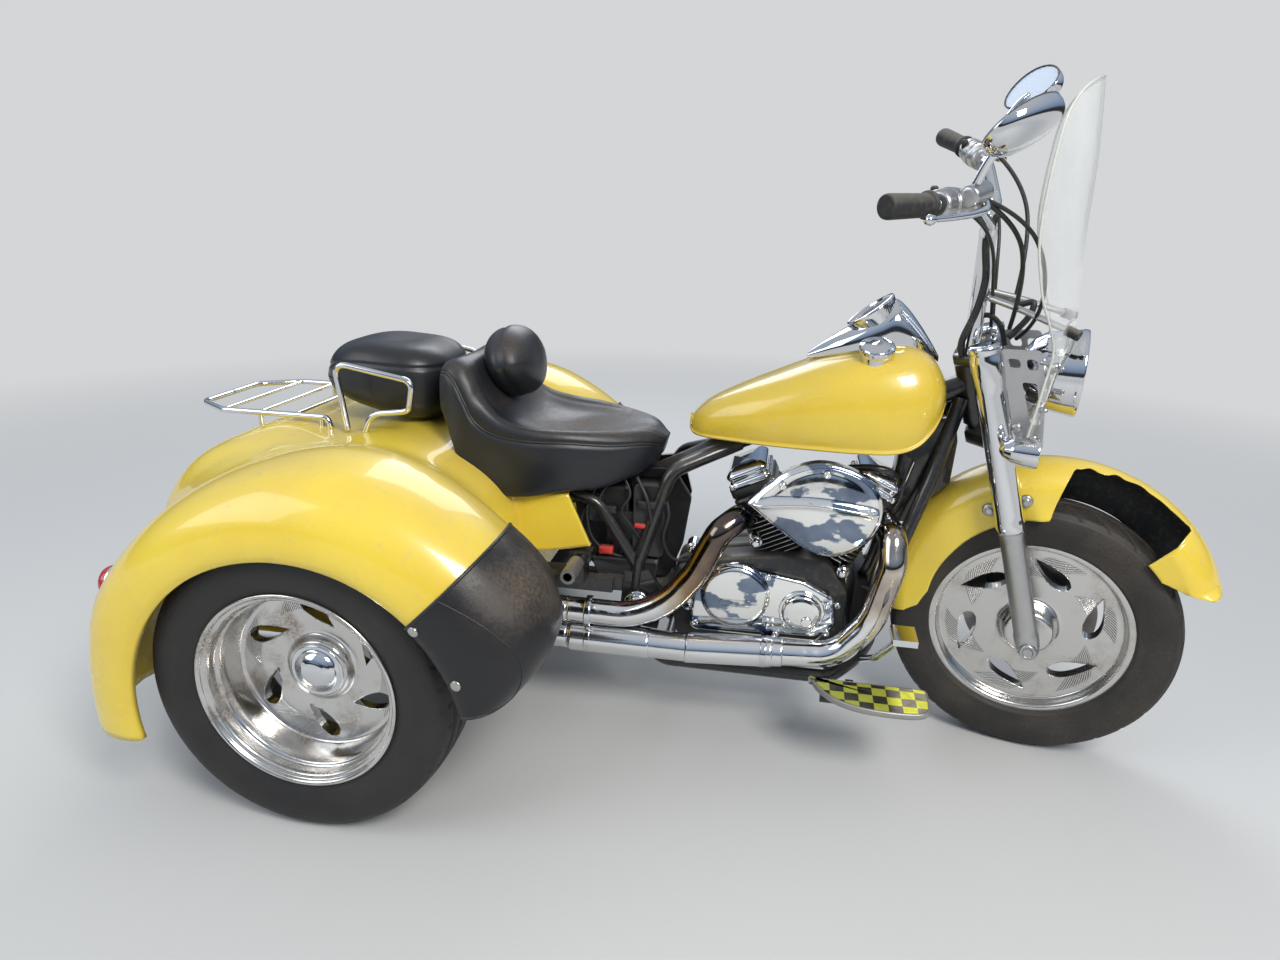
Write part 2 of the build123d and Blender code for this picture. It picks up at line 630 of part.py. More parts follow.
# Fork: yokes, legs, axle
COVER_R = 30.0
with BuildPart() as yokes:
    for up, thick in ((UPPER_YOKE, 26), (LOWER_YOKE, 30)):
        with BuildSketch(Plane(origin=on_fork(0, 0, up - thick / 2), x_dir=STEER_FORE, z_dir=STEER_UP)):
            with BuildLine():
                Polyline((-28, -32), (FORK_OFFSET - 20, -FORK_HALF - 40), (FORK_OFFSET + 40, -FORK_HALF - 34),
                         (FORK_OFFSET + 40, FORK_HALF + 34), (FORK_OFFSET - 20, FORK_HALF + 40), (-28, 32),
                         close=True)
            make_face()
        extrude(amount=thick)
    add(rod(on_fork(0, 0, LOWER_YOKE), on_fork(0, 0, UPPER_YOKE + 24), STEM_R))
    for side in (1, -1):
        leg = rod(on_fork(FORK_OFFSET, side * FORK_HALF, LOWER_YOKE - 40),
                  on_fork(FORK_OFFSET, side * FORK_HALF, LEG_TOP + 20), COVER_R)
        add(leg, mode=Mode.SUBTRACT)

with BuildPart() as fork_legs:
    for side in (1, -1):
        y = side * FORK_HALF
        add(rod(on_fork(FORK_OFFSET, y, -34), on_fork(FORK_OFFSET, y, 310), 26))
        add(rod(on_fork(FORK_OFFSET, y, 280), on_fork(FORK_OFFSET, y, LEG_TOP), COVER_R))
        bore = rod((WHEELBASE, y - 40, FRONT_TYRE_R), (WHEELBASE, y + 40, FRONT_TYRE_R), 10)
        add(bore, mode=Mode.SUBTRACT)

with BuildPart() as front_axle:
    half = FORK_HALF + 32
    add(rod((WHEELBASE, -half, FRONT_TYRE_R), (WHEELBASE, half, FRONT_TYRE_R), 10))
    for side in (1, -1):
        add(rod((WHEELBASE, side * 60, FRONT_TYRE_R), (WHEELBASE, side * 84, FRONT_TYRE_R), 17))

# Front wheel
with BuildPart() as front_rim:
    w = FRONT_RIM_HALF
    outline = [(-w, FRONT_LIP_R), (-w + 6, FRONT_LIP_R), (-w + 8, 216), (w - 8, 216), (w - 6, FRONT_LIP_R),
               (w, FRONT_LIP_R), (w, FRONT_LIP_R - 5), (w - 8, 206), (14, 196), (12, 70), (48, 52), (54, 44),
               (54, 10.3), (-54, 10.3), (-54, 44), (-48, 52), (-12, 70), (-14, 196), (-w + 8, 206),
               (-w, FRONT_LIP_R - 5)]
    add(turned(outline, (WHEELBASE, 0, FRONT_TYRE_R)))
    with BuildSketch(Plane(origin=(WHEELBASE, 60, FRONT_TYRE_R), x_dir=(1, 0, 0), z_dir=(0, -1, 0))):
        with PolarLocations(140, WINDOWS, start_angle=20):
            SlotOverall(84, 36, rotation=60)
    extrude(amount=120, mode=Mode.SUBTRACT)
with BuildPart() as front_tyre:
    add(tyre(0, WHEELBASE, FRONT_TYRE_R, FRONT_TYRE_W, 216, FRONT_RIM_HALF, FRONT_LIP_R))
with BuildPart() as brake_disc:
    add(turned([(54, 40), (54, 72), (58, 74), (58, 148), (63, 148), (63, 40)], (WHEELBASE, 0, FRONT_TYRE_R)))
    add(rod((WHEELBASE, 40, FRONT_TYRE_R), (WHEELBASE, 80, FRONT_TYRE_R), 20), mode=Mode.SUBTRACT)

with BuildPart() as brake_caliper:
    disc_mid = 60.5
    for place, size in (((-62, disc_mid + 3, 100), (50, 50, 96)), ((8, 84, 100), (96, 8, 60))):
        add(Pos(*on_fork(*place)) * Rot(0, -RAKE, 0) * Box(*size, mode=Mode.PRIVATE))
    add(rod((WHEELBASE, disc_mid - 8, FRONT_TYRE_R), (WHEELBASE, disc_mid + 8, FRONT_TYRE_R), 153),
        mode=Mode.SUBTRACT)
    add(fork_legs.part, mode=Mode.SUBTRACT)

# Front fender, pushed forward and up on the fork
FENDER_X = WHEELBASE + 15
FENDER_Z = FRONT_TYRE_R + 58
FENDER_R = 355.0
FENDER_HALF = 76.0
with BuildPart() as front_fender:
    low = FENDER_R - 95
    centre = (FENDER_X, 0, FENDER_Z)
    start = radians(20)
    plane = Plane(origin=centre, x_dir=(0, 1, 0), z_dir=(sin(start), 0, -cos(start)))
    with BuildSketch(plane):
        with BuildLine():
            h = FENDER_HALF
            a1 = ThreePointArc((-h, FENDER_R - 60), (0, FENDER_R), (h, FENDER_R - 60))
            l1 = Line(a1 @ 1, (h, low))
            l2 = Line(l1 @ 1, (h - 3, low))
            l3 = Line(l2 @ 1, (h - 3, FENDER_R - 60))
            a2 = ThreePointArc(l3 @ 1, (0, FENDER_R - 3), (-h + 3, FENDER_R - 60))
            Polyline(a2 @ 1, (-h + 3, low), (-h, low), a1 @ 0)
        make_face()
    revolve(axis=Axis(centre, (0, -1, 0)), revolution_arc=170)
    # The torn side: what is missing from the right skirt, ahead of the fork leg
    torn = [(-25, 300), (-25, 660), (55, 720), (275, 640), (255, 560), (175, 500), (135, 300)]
    add(side_slab([(FENDER_X + x, z) for x, z in torn], -120, -20), mode=Mode.SUBTRACT)
    for side in (1, -1):
        add(rod(on_fork(FORK_OFFSET, side * 74.5, 330), on_fork(FORK_OFFSET, side * 94, 330), 10))
    add(fork_legs.part, mode=Mode.SUBTRACT)

# Handlebar, grips, controls and mirrors, tilted as the real bar is bent
BAR = [(-35, 430, 1315), (28, 335, 1302), (75, 220, 1285), (88, 120, 1225), (78, 60, 1196)]
bar_points = [at_axis(x, -y, z) for x, y, z in BAR] + [at_axis(x, y, z) for x, y, z in reversed(BAR)]
BAR_AXIS = Axis(at_axis(78, 0, 1196), (1, 0, 0))


def tilted(piece):
    """A piece on the handlebar, with the bar's tilt."""
    return piece.rotate(BAR_AXIS, BAR_TILT)


with BuildPart() as handlebar:
    add(tilted(tube(bar_points, [60, 80, 50, 30, 30, 50, 80, 60], 12.5)))
    for side in (1, -1):
        add(rod(on_fork(8, side * 42, UPPER_YOKE + 10), at_axis(78, side * 42, 1196), 16))
    add(yokes.part, mode=Mode.SUBTRACT)

with BuildPart() as grips:
    for side in (1, -1):
        inner = Vector(*at_axis(20, side * 347, 1303.5))
        outer = Vector(*at_axis(-38, side * 434.5, 1315.6))
        add(tilted(rod(tuple(inner), tuple(outer), 18)))
    add(handlebar.part, mode=Mode.SUBTRACT)

with BuildPart() as hand_controls:
    for side in (1, -1):
        add(tilted(rod(at_axis(28, side * 335, 1302), at_axis(62, side * 252, 1290), 27)))
        add(tilted(rod(at_axis(80, side * 310, 1312), at_axis(100, side * 250, 1312), 20)))
        add(tilted(tube([at_axis(100, side * 285, 1290), at_axis(70, side * 360, 1290),
                         at_axis(25, side * 430, 1296)], [50], 7)))
        add(tilted(rod(at_axis(60, side * 290, 1296), at_axis(100, side * 285, 1292), 12)))
    add(handlebar.part, mode=Mode.SUBTRACT)
    add(grips.part, mode=Mode.SUBTRACT)

def mirror_head(side):
    """A mirror's oval housing."""
    glass = Plane(origin=at_axis(168, side * 322, 1450), x_dir=(0, 1, 0), z_dir=(0.77, 0, -0.64))
    with BuildPart(mode=Mode.PRIVATE) as housing:
        with BuildSketch(glass):
            Ellipse(78, 50)
        extrude(amount=22)
    return housing.part


with BuildPart() as mirrors:
    for side in (1, -1):
        add(tilted(tube([at_axis(85, side * 285, 1318), at_axis(120, side * 292, 1400),
                         at_axis(165, side * 310, 1440)], [30], 6)))
        add(tilted(mirror_head(side)))
    add(hand_controls.part, mode=Mode.SUBTRACT)

# Windshield, its brackets, headlight and lamps
SHIELD_R = 285.0
SHIELD_X = WHEELBASE - 284
LAMP_X = WHEELBASE - 98
LAMP_Z = 925.0
with BuildPart() as windshield:
    plane = Plane(origin=(SHIELD_X, 0, 770), x_dir=(1, 0, 0), z_dir=(0, 0, 1))
    with BuildSketch(plane):
        Circle(SHIELD_R)
        Circle(SHIELD_R - 5, mode=Mode.SUBTRACT)
        with Locations((-155, 0)):
            Rectangle(600, 700, mode=Mode.SUBTRACT)
    extrude(amount=720)
    add(block((SHIELD_X, -105, 740), (SHIELD_X + 500, 105, 1022)), mode=Mode.SUBTRACT)
    add(block((SHIELD_X, -400, 700), (SHIELD_X + 500, -135, 960)), mode=Mode.SUBTRACT)
    add(block((SHIELD_X, 135, 700), (SHIELD_X + 500, 400, 960)), mode=Mode.SUBTRACT)

with BuildPart() as signal_lamps:
    fore = FORK_OFFSET + 40 + 9 + CLEAR
    add(rod(on_fork(fore, -186, LOWER_YOKE), on_fork(fore, 186, LOWER_YOKE), 9))
    x, _, z = on_fork(fore, 0, LOWER_YOKE)
    for side in (1, -1):
        add(rod((x - 22, side * 186, z), (x + 34, side * 186, z), 32))

with BuildPart() as shield_brackets:
    for side in (1, -1):
        y = side * 108
        plate = [(75.2, 972), (152, 975), (150, 900), (128, 772), (92, 772), (75.2, 800)]
        corners = [at_axis(fore, 0, z) for fore, z in plate]
        add(side_slab([(x, z) for x, _, z in corners], y - 2, y + 2))
        for z in (900, 950):
            add(rod((LAMP_X, y, z), (LAMP_X + 72, side * 121, z), 6))
    add(yokes.part, mode=Mode.SUBTRACT)
    add(signal_lamps.part, mode=Mode.SUBTRACT)
    add(windshield.part, mode=Mode.SUBTRACT)

with BuildPart() as headlight:
    add(turned([(0, 0), (0, 50), (40, 82), (110, 88), (118, 80), (118, 0)], (LAMP_X, 0, LAMP_Z),
               (1, 0, 0), (1, 0, 0), (0, 0, 1)))
    add(rod((LAMP_X - 40, 0, LAMP_Z), (LAMP_X + 8, 0, LAMP_Z), 20))
    add(yokes.part, mode=Mode.SUBTRACT)

CABLE_R = 4.5
with BuildPart() as control_cables:
    for side in (1, -1):
        add(tilted(tube([at_axis(92, side * 262, 1303), at_axis(150, side * 200, 1250),
                         at_axis(140, side * 120, 1120), at_axis(95, side * 70, 1010)], [70, 80], CABLE_R)))
    add(hand_controls.part, mode=Mode.SUBTRACT)

# Export: turn what the fork carries to its parked angle, move the origin, write one file a piece
STEERED = [
    ("yokes", yokes), ("fork_legs", fork_legs), ("front_axle", front_axle), ("front_rim", front_rim),
    ("front_tyre", front_tyre), ("brake_disc", brake_disc), ("brake_caliper", brake_caliper),
    ("front_fender", front_fender), ("handlebar", handlebar), ("grips", grips),
    ("hand_controls", hand_controls), ("mirrors", mirrors), ("windshield", windshield),
    ("shield_brackets", shield_brackets), ("headlight", headlight), ("signal_lamps", signal_lamps),
    ("control_cables", control_cables),
]
FIXED = [
    ("frame", frame), ("rear_carrier", rear_carrier), ("axle_housing", axle_housing),
    ("drive_shaft", drive_shaft), ("rear_rim_right", rear_rim_right), ("rear_rim_left", rear_rim_left),
    ("rear_tyre_right", rear_tyre_right), ("rear_tyre_left", rear_tyre_left), ("engine", engine),
    ("cylinders", cylinders), ("head_covers", head_covers), ("right_cover", right_cover),
    ("left_cover", left_cover), ("air_cleaner", air_cleaner), ("radiator", radiator),
    ("exhaust_pipes", exhaust_pipes), ("mufflers", mufflers), ("electrics_box", electrics_box),
    ("left_side_cover", left_side_cover), ("trike_body", trike_body), ("trunk_lid", trunk_lid),
    ("tail_lamps", tail_lamps), ("fender_covers", fender_covers), ("luggage_rack", luggage_rack),
    ("grab_rails", grab_rails), ("rider_seat", rider_seat), ("pillion_seat", pillion_seat),
    ("rider_backrest", rider_backrest), ("fuel_tank", fuel_tank), ("tank_console", tank_console),
    ("filler_cap", filler_cap), ("foot_brackets", foot_brackets), ("floorboard_right", floorboard_right),
    ("floorboard_left", floorboard_left), ("peg_right", peg_right), ("peg_left", peg_left),
    ("foot_levers", foot_levers),
]
for name, piece in STEERED:
    piece.part = piece.part.rotate(STEER_AXIS, STEER_REST)
for name, piece in STEERED + FIXED:
    piece.part = Pos(-ORIGIN_X, 0, 0) * piece.part
    piece.part.label = name
    export_step(piece.part, f"parts/{name}.step")
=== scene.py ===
import bmesh
import bpy
import numpy as np
from mathutils import Matrix, Vector


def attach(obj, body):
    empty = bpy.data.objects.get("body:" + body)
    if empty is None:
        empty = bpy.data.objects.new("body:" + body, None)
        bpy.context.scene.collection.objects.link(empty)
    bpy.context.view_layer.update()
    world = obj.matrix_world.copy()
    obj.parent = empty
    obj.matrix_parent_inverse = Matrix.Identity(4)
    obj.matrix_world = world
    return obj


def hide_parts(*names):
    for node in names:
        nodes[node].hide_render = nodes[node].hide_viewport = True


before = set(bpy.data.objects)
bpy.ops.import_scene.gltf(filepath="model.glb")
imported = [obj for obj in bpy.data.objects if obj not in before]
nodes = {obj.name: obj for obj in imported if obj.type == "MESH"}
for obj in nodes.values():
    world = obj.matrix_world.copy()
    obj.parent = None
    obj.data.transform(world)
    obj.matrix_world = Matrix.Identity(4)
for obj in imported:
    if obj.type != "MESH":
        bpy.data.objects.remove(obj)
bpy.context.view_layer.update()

# Frame and rear carrier: welded round tube with flat gussets, in gloss black enamel.
# The enamel is dulled by road dust that lies wherever a face looks up.


def shader(name, colour, metallic=0.0, rough=0.5, coat=0.0):
    """A material with the numbers that are the same all over on the shader's own sockets."""
    finish = bpy.data.materials.new(name)
    finish.use_nodes = True
    bsdf = finish.node_tree.nodes["Principled BSDF"]
    bsdf.inputs["Base Color"].default_value = (*colour, 1.0)
    bsdf.inputs["Metallic"].default_value = metallic
    bsdf.inputs["Roughness"].default_value = rough
    bsdf.inputs["Coat Weight"].default_value = coat
    bsdf.inputs["Coat Roughness"].default_value = 0.04
    return finish, finish.node_tree.nodes, finish.node_tree.links, bsdf


def speckle(tree, links, scale, detail=4.0, squeeze=(1.0, 1.0, 1.0), source="Object"):
    """Noise on the piece's own coordinates; squeeze stretches it along an axis."""
    place = tree.new("ShaderNodeTexCoord")
    turn = tree.new("ShaderNodeMapping")
    turn.inputs["Scale"].default_value = squeeze
    noise = tree.new("ShaderNodeTexNoise")
    noise.inputs["Scale"].default_value = scale
    noise.inputs["Detail"].default_value = detail
    links.new(place.outputs[source], turn.inputs["Vector"])
    links.new(turn.outputs["Vector"], noise.inputs["Vector"])
    return noise.outputs["Fac"]


def span(tree, links, value, low, high, start=0.3, end=0.7):
    """A value carried from start..end to low..high, and held at both ends."""
    node = tree.new("ShaderNodeMapRange")
    for socket, number in (("From Min", start), ("From Max", end), ("To Min", low), ("To Max", high)):
        node.inputs[socket].default_value = number
    links.new(value, node.inputs["Value"])
    return node.outputs["Result"]


def sums(tree, links, kind, first, second=0.0):
    """One arithmetic step on two values; each is an output or a number."""
    node = tree.new("ShaderNodeMath")
    node.operation = kind
    for socket, value in zip(node.inputs, (first, second)):
        if isinstance(value, bpy.types.NodeSocket):
            links.new(value, socket)
        else:
            socket.default_value = value
    return node.outputs[0]


def mixed(tree, links, factor, first, second, mode="MIX"):
    """Two colours mixed; each is an output or a plain colour."""
    node = tree.new("ShaderNodeMix")
    node.data_type, node.blend_type = "RGBA", mode
    for socket, value in ((0, factor), (6, first), (7, second)):
        if isinstance(value, bpy.types.NodeSocket):
            links.new(value, node.inputs[socket])
        else:
            node.inputs[socket].default_value = value if socket == 0 else (*value, 1)
    return node.outputs[2]


def bumped(tree, links, bsdf, height, strength, distance):
    """A bump from a height, on top of any bump that is already there."""
    node = tree.new("ShaderNodeBump")
    node.inputs["Strength"].default_value = strength
    node.inputs["Distance"].default_value = distance
    links.new(height, node.inputs["Height"])
    held = bsdf.inputs["Normal"]
    if held.is_linked:
        links.new(held.links[0].from_socket, node.inputs["Normal"])
    links.new(node.outputs["Normal"], held)


def facing_up(tree, links):
    """How far a face looks up: the height of its normal, held between 0 and 1."""
    normal = tree.new("ShaderNodeNewGeometry")
    parts = tree.new("ShaderNodeSeparateXYZ")
    links.new(normal.outputs["Normal"], parts.inputs["Vector"])
    return span(tree, links, parts.outputs["Z"], 0.0, 1.0, 0.15, 0.95)


def worn(name, colour, metallic, rough, coat=0.0, drift=0.15, dust=0.3, tint=(0.30, 0.27, 0.22), grain=0.0):
    """A used finish: its tone drifts over a hand's width, dust lies on faces that look up, and the
    shine is duller under the dust. Grain is the strength of a fine bump."""
    finish, tree, links, bsdf = shader(name, colour, metallic, rough, coat)
    broad = speckle(tree, links, 7.0, 5.0)
    fine = speckle(tree, links, 90.0, 5.0)
    darker = tuple(c * (1 - drift) for c in colour)
    tone = mixed(tree, links, span(tree, links, broad, 0.0, 1.0, 0.35, 0.65), colour, darker)
    lying = sums(tree, links, "MULTIPLY", facing_up(tree, links), span(tree, links, broad, dust * 0.4, dust,
            0.35, 0.6))
    film = sums(tree, links, "ADD", lying, span(tree, links, fine, 0.0, dust * 0.35, 0.52, 0.75))
    links.new(mixed(tree, links, film, tone, tint), bsdf.inputs["Base Color"])
    links.new(span(tree, links, film, rough, min(1.0, rough + 0.5), 0.0, 1.0), bsdf.inputs["Roughness"])
    if grain:
        bumped(tree, links, bsdf, speckle(tree, links, 500.0, 3.0), grain, 0.0006)
    return finish


def dress(finish, *names):
    """Gives CAD nodes one finish."""
    for name in names:
        nodes[name].data.materials.clear()
        nodes[name].data.materials.append(finish)


black_enamel = worn("black_enamel", (0.012, 0.012, 0.013), 0.0, 0.28, 0.5, dust=0.22)
dress(black_enamel, "frame", "rear_carrier")

# Rear axle housing and drive shaft: cast and turned steel in dull black, behind the wheels.
# The castings are rougher than the frame's tubes and hold more dust.
cast_black = worn("cast_black", (0.025, 0.024, 0.023), 0.2, 0.62, dust=0.45, grain=0.35)
dress(cast_black, "axle_housing")
shaft_steel = worn("shaft_steel", (0.16, 0.15, 0.14), 0.7, 0.5, dust=0.4)
dress(shaft_steel, "drive_shaft")

# Rear wheels: a rim turned from aluminium, with a deep stepped barrel, six teardrop windows
# milled through its disc and fine swirl lines cut beside them, and a plated cap pressed into the hub.
AXLE_X = 643.35
WHEEL_R = 313.0
WHEEL_SIDE = 556.0


def row_frame(points):
    """Workshop millimetres, x from the rear axle, to the row's metres: p -> (p - (643.35, 0, 0)) / 1000."""
    return (np.asarray(points, float) - [AXLE_X, 0.0, 0.0]) / 1000.0


def grid_mesh(name, grids, finish, smooth=True):
    """One mesh from one or more grids of points in the row frame. Each grid is (rows x columns x 3,
    rows close, columns close); quads join neighbours (i, j), and the UV map runs 0 to 1 along both."""
    verts, quads, uvs, start = [], [], [], 0
    for points, close_rows, close_cols in grids:
        rows, cols = points.shape[:2]
        index = start + np.arange(rows * cols).reshape(rows, cols)
        i = np.arange(rows if close_rows else rows - 1)
        j = np.arange(cols if close_cols else cols - 1)
        i, j = np.meshgrid(i, j, indexing="ij")
        around = ((0, 0), (1, 0), (1, 1), (0, 1))
        quads.append(np.stack([index[(i + a) % rows, (j + b) % cols] for a, b in around], -1).reshape(-1,
                4))
        size = [rows if close_rows else rows - 1, cols if close_cols else cols - 1]
        uvs.append(np.stack([np.stack([i + a, j + b], -1) / size for a, b in around], -2).reshape(-1, 2))
        verts.append(points.reshape(-1, 3))
        start += rows * cols
    verts, quads, uvs = np.concatenate(verts), np.concatenate(quads), np.concatenate(uvs)
    mesh = bpy.data.meshes.new(name)
    mesh.vertices.add(len(verts))
    mesh.vertices.foreach_set("co", verts.astype(np.float32).ravel())
    mesh.loops.add(quads.size)
    mesh.loops.foreach_set("vertex_index", quads.astype(np.int32).ravel())
    mesh.polygons.add(len(quads))
    mesh.polygons.foreach_set("loop_start", np.arange(0, quads.size, 4, dtype=np.int32))
    mesh.polygons.foreach_set("use_smooth", np.full(len(quads), smooth))
    mesh.update(calc_edges=True)
    layer = mesh.uv_layers.new(name="UVMap")
    layer.data.foreach_set("uv", uvs.astype(np.float32).ravel())
    piece = bpy.data.objects.new(name, mesh)
    bpy.context.scene.collection.objects.link(piece)
    mesh.materials.append(finish)
    return piece


def outward(piece, merge=1e-5):
    """Welds doubled points, drops faces with no area and turns every face outwards."""
    shell = bmesh.new()
    shell.from_mesh(piece.data)
    bmesh.ops.remove_doubles(shell, verts=shell.verts, dist=merge)
    bmesh.ops.dissolve_degenerate(shell, edges=shell.edges, dist=merge)
    bmesh.ops.recalc_face_normals(shell, faces=shell.faces)
    shell.to_mesh(piece.data)
    shell.free()
    return piece


def settle(piece, body, slot, *replaced):
    """Ties a piece to its body, and hides the plain nodes that it stands for. The slot is not used."""
    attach(piece, body)
    if replaced:
        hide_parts(*replaced)
    return piece


def spun(points):
    """A grid whose rows close on themselves."""
    return row_frame(points), True, False


def swept(points):
    """A grid whose columns close on themselves."""
    return row_frame(points), False, True


def open_sheet(points):
    """A grid that is open on all sides."""
    return row_frame(points), False, False


def build(name, grids, finish, body, slot, *replaced, merge=1e-5):
    """Makes a piece from grids, merges near points, turns it outwards and settles it."""
    settle(outward(grid_mesh(name, grids, finish), merge), body, slot, *replaced)


def evenly(profile, step):
    """The profile's corners kept, with points no further apart than the step between them."""
    profile = np.asarray(profile, float)
    runs = np.linalg.norm(np.diff(profile, axis=0), axis=1)
    parts = [np.linspace(a, b, max(1, int(np.ceil(run / step))), endpoint=False)
             for a, b, run in zip(profile[:-1], profile[1:], runs)]
    return np.concatenate(parts + [profile[-1:]])


def turned_grid(profile, centre, axis, out, around=120):
    """A profile of (along the axis, radius) turned about an axis a through c:
    p = c + s a + r (out cos t + across sin t)."""
    axis = np.asarray(axis, float) / np.linalg.norm(axis)
    out = np.asarray(out, float) - axis * np.dot(out, axis)
    out /= np.linalg.norm(out)
    t = np.linspace(0, 2 * np.pi, around, endpoint=False)
    ring = out * np.cos(t)[:, None] + np.cross(axis, out) * np.sin(t)[:, None]
    profile = np.asarray(profile, float)
    return np.asarray(centre, float) + profile[None, :, :1] * axis + profile[None, :, 1:] * ring[:, None, :]


def teardrops(count, first, radius, length, width, lean, depths, swell):
    """Closed prisms for the windows: y = w sin t sin(t/2)^1.2, x = -l cos t is a teardrop that is
    pointed at its inner end; `lean` turns it from the spoke, and the outer face is larger by `swell`.
    Returns one ring of (x, z) points a window for each of the two depths."""
    t = np.linspace(0, 2 * np.pi, 40, endpoint=False)
    drop = np.stack([-length / 2 * np.cos(t), width / 2 * np.sin(t) * np.sin(t / 2) ** 1.2], -1)
    shapes = []
    for n in range(count):
        spoke = np.radians(first + n * 360.0 / count)
        long = spoke + np.radians(lean)
        turn = np.array([[np.cos(long), np.sin(long)], [-np.sin(long), np.cos(long)]])
        middle = radius * np.array([np.cos(spoke), np.sin(spoke)])
        shapes.append([(depth, middle + (drop * grow) @ turn) for depth, grow in zip(depths, (swell, 1.0))])
    return shapes


def cut_windows(piece, shapes, place):
    """Cuts the prisms out of a rim: each ring of points is put in place, capped and taken away."""
    shell = bmesh.new()
    for (near, face), (far, back) in shapes:
        rings = [[shell.verts.new(row_frame(place(depth, *spot))) for spot in ring]
                 for depth, ring in ((near, face), (far, back))]
        count = len(rings[0])
        for n in range(count):
            shell.faces.new((rings[0][n], rings[0][(n + 1) % count], rings[1][(n + 1) % count],
                             rings[1][n]))
        shell.faces.new(rings[0])
        shell.faces.new(rings[1][::-1])
    bmesh.ops.recalc_face_normals(shell, faces=shell.faces)
    tool = bpy.data.meshes.new("window_tool")
    shell.to_mesh(tool)
    shell.free()
    cutter = bpy.data.objects.new("window_tool", tool)
    bpy.context.scene.collection.objects.link(cutter)
    cut = piece.modifiers.new("windows", "BOOLEAN")
    cut.operation, cut.object, cut.solver = "DIFFERENCE", cutter, "EXACT"
    bpy.context.view_layer.update()
    done = bpy.data.meshes.new_from_object(piece.evaluated_get(bpy.context.evaluated_depsgraph_get()))
    piece.modifiers.clear()
    piece.data = done
    bpy.data.objects.remove(cutter)


def machined(name, repeats, inner_v, outer_v, lines, lean, dirt):
    """Turned and polished aluminium: hair-fine turning marks run round it, and between inner_v and
    outer_v on its profile a swirl of milled lines is cut, sin(2 pi n (u + lean v)),
    in a patch at each window."""
    finish, tree, links, bsdf = shader(name, (0.66, 0.65, 0.63), 1.0, 0.16)
    place = tree.new("ShaderNodeTexCoord")
    parts = tree.new("ShaderNodeSeparateXYZ")
    links.new(place.outputs["UV"], parts.inputs["Vector"])
    u, v = parts.outputs["X"], parts.outputs["Y"]
    turn = sums(tree, links, "SINE", sums(tree, links, "MULTIPLY", v, 2600.0))
    swirl = sums(tree, links, "ADD", u, sums(tree, links, "MULTIPLY", v, lean))
    wave = sums(tree, links, "SINE", sums(tree, links, "MULTIPLY", swirl, 2 * np.pi * lines))
    patch = sums(tree, links, "FRACT", sums(tree, links, "MULTIPLY", swirl, repeats))
    middle = (inner_v + outer_v) / 2
    band = span(tree, links, sums(tree, links, "ABSOLUTE", sums(tree, links, "SUBTRACT", v, middle)), 1.0,
                0.0, (outer_v - inner_v) * 0.42, (outer_v - inner_v) * 0.5)
    beside = span(tree, links, sums(tree, links, "ABSOLUTE", sums(tree, links, "SUBTRACT", patch, 0.5)),
                  1.0, 0.0, 0.2, 0.26)
    cut = sums(tree, links, "MULTIPLY", sums(tree, links, "MULTIPLY", band, beside),
               span(tree, links, wave, 0.0, 1.0, 0.1, 0.9))
    stain = speckle(tree, links, 14.0, 6.0)
    film = sums(tree, links, "MULTIPLY", span(tree, links, stain, 0.0, dirt, 0.5, 0.72),
                span(tree, links, speckle(tree, links, 160.0, 3.0), 0.35, 1.0, 0.4, 0.6))
    tone = mixed(tree, links, cut, (0.66, 0.65, 0.63), (0.2, 0.2, 0.2))
    links.new(mixed(tree, links, film, tone, (0.24, 0.16, 0.1)), bsdf.inputs["Base Color"])
    links.new(span(tree, links, stain, 0.12, 0.3), bsdf.inputs["Roughness"])
    bumped(tree, links, bsdf, turn, 0.05, 0.0002)
    bumped(tree, links, bsdf, cut, 0.7, -0.0012)
    return finish


# Rear rim as closed rings of (outwards, radius): the barrel with its disc, and the cap in the hub
BARREL = [(7, 61), (2, 66), (-10, 71), (-12, 76), (-9, 100), (-6, 128), (-5, 150), (-5, 168), (-2, 174),
          (6, 176), (44, 178), (58, 181), (61, 187), (80, 189), (85, 192), (86, 198), (92, 200), (95, 204),
          (94.5, 208), (87, 208.5), (85, 196), (-85, 196), (-87, 208.5), (-94.5, 208), (-95, 203),
          (-88, 190), (-40, 186), (-27, 180), (-24, 132), (-34, 62), (-34, 50), (7, 50)]
HUB_CAP = [(-10, 0), (-10, 56), (8, 57), (9.5, 53), (8, 50), (10, 45), (15, 41), (21, 33), (25, 24),
           (27, 12), (27.5, 0)]
chrome = worn("chrome", (0.74, 0.75, 0.77), 1.0, 0.05, drift=0.06, dust=0.07, tint=(0.4, 0.36, 0.3))
rear_alloy = machined("machined_alloy", 6, 0.118, 0.17, 150, 0.9, 0.75)
for side, name in ((-1, "right"), (1, "left")):
    centre = (0.0, side * WHEEL_SIDE, WHEEL_R)
    ring = turned_grid(evenly(BARREL, 5.0), centre, (0, side, 0), (1, 0, 0), 144)
    rim = outward(grid_mesh(f"rim_{name}", [(row_frame(ring), True, True)], rear_alloy))
    windows = teardrops(6, 28, 124, 82, 46, 47, (30.0, -60.0), 1.12)
    cut_windows(rim, windows, lambda depth, x, z: np.array([x, side * (WHEEL_SIDE + depth), WHEEL_R + z]))
    settle(rim, f"rear_wheel_{name}", "alloy_polished", f"rear_rim_{name}")
    cap = turned_grid(evenly(HUB_CAP, 4.0), centre, (0, side, 0), (1, 0, 0), 72)
    build(f"hub_cap_{name}", [spun(cap)], chrome, f"rear_wheel_{name}", "chrome")

# Tyres: black rubber with fine mould rings on the walls, and dry mud in the tread and along the bead.
# The rear ones have four straight grooves with cross sipes, and the front one has slanted grooves.


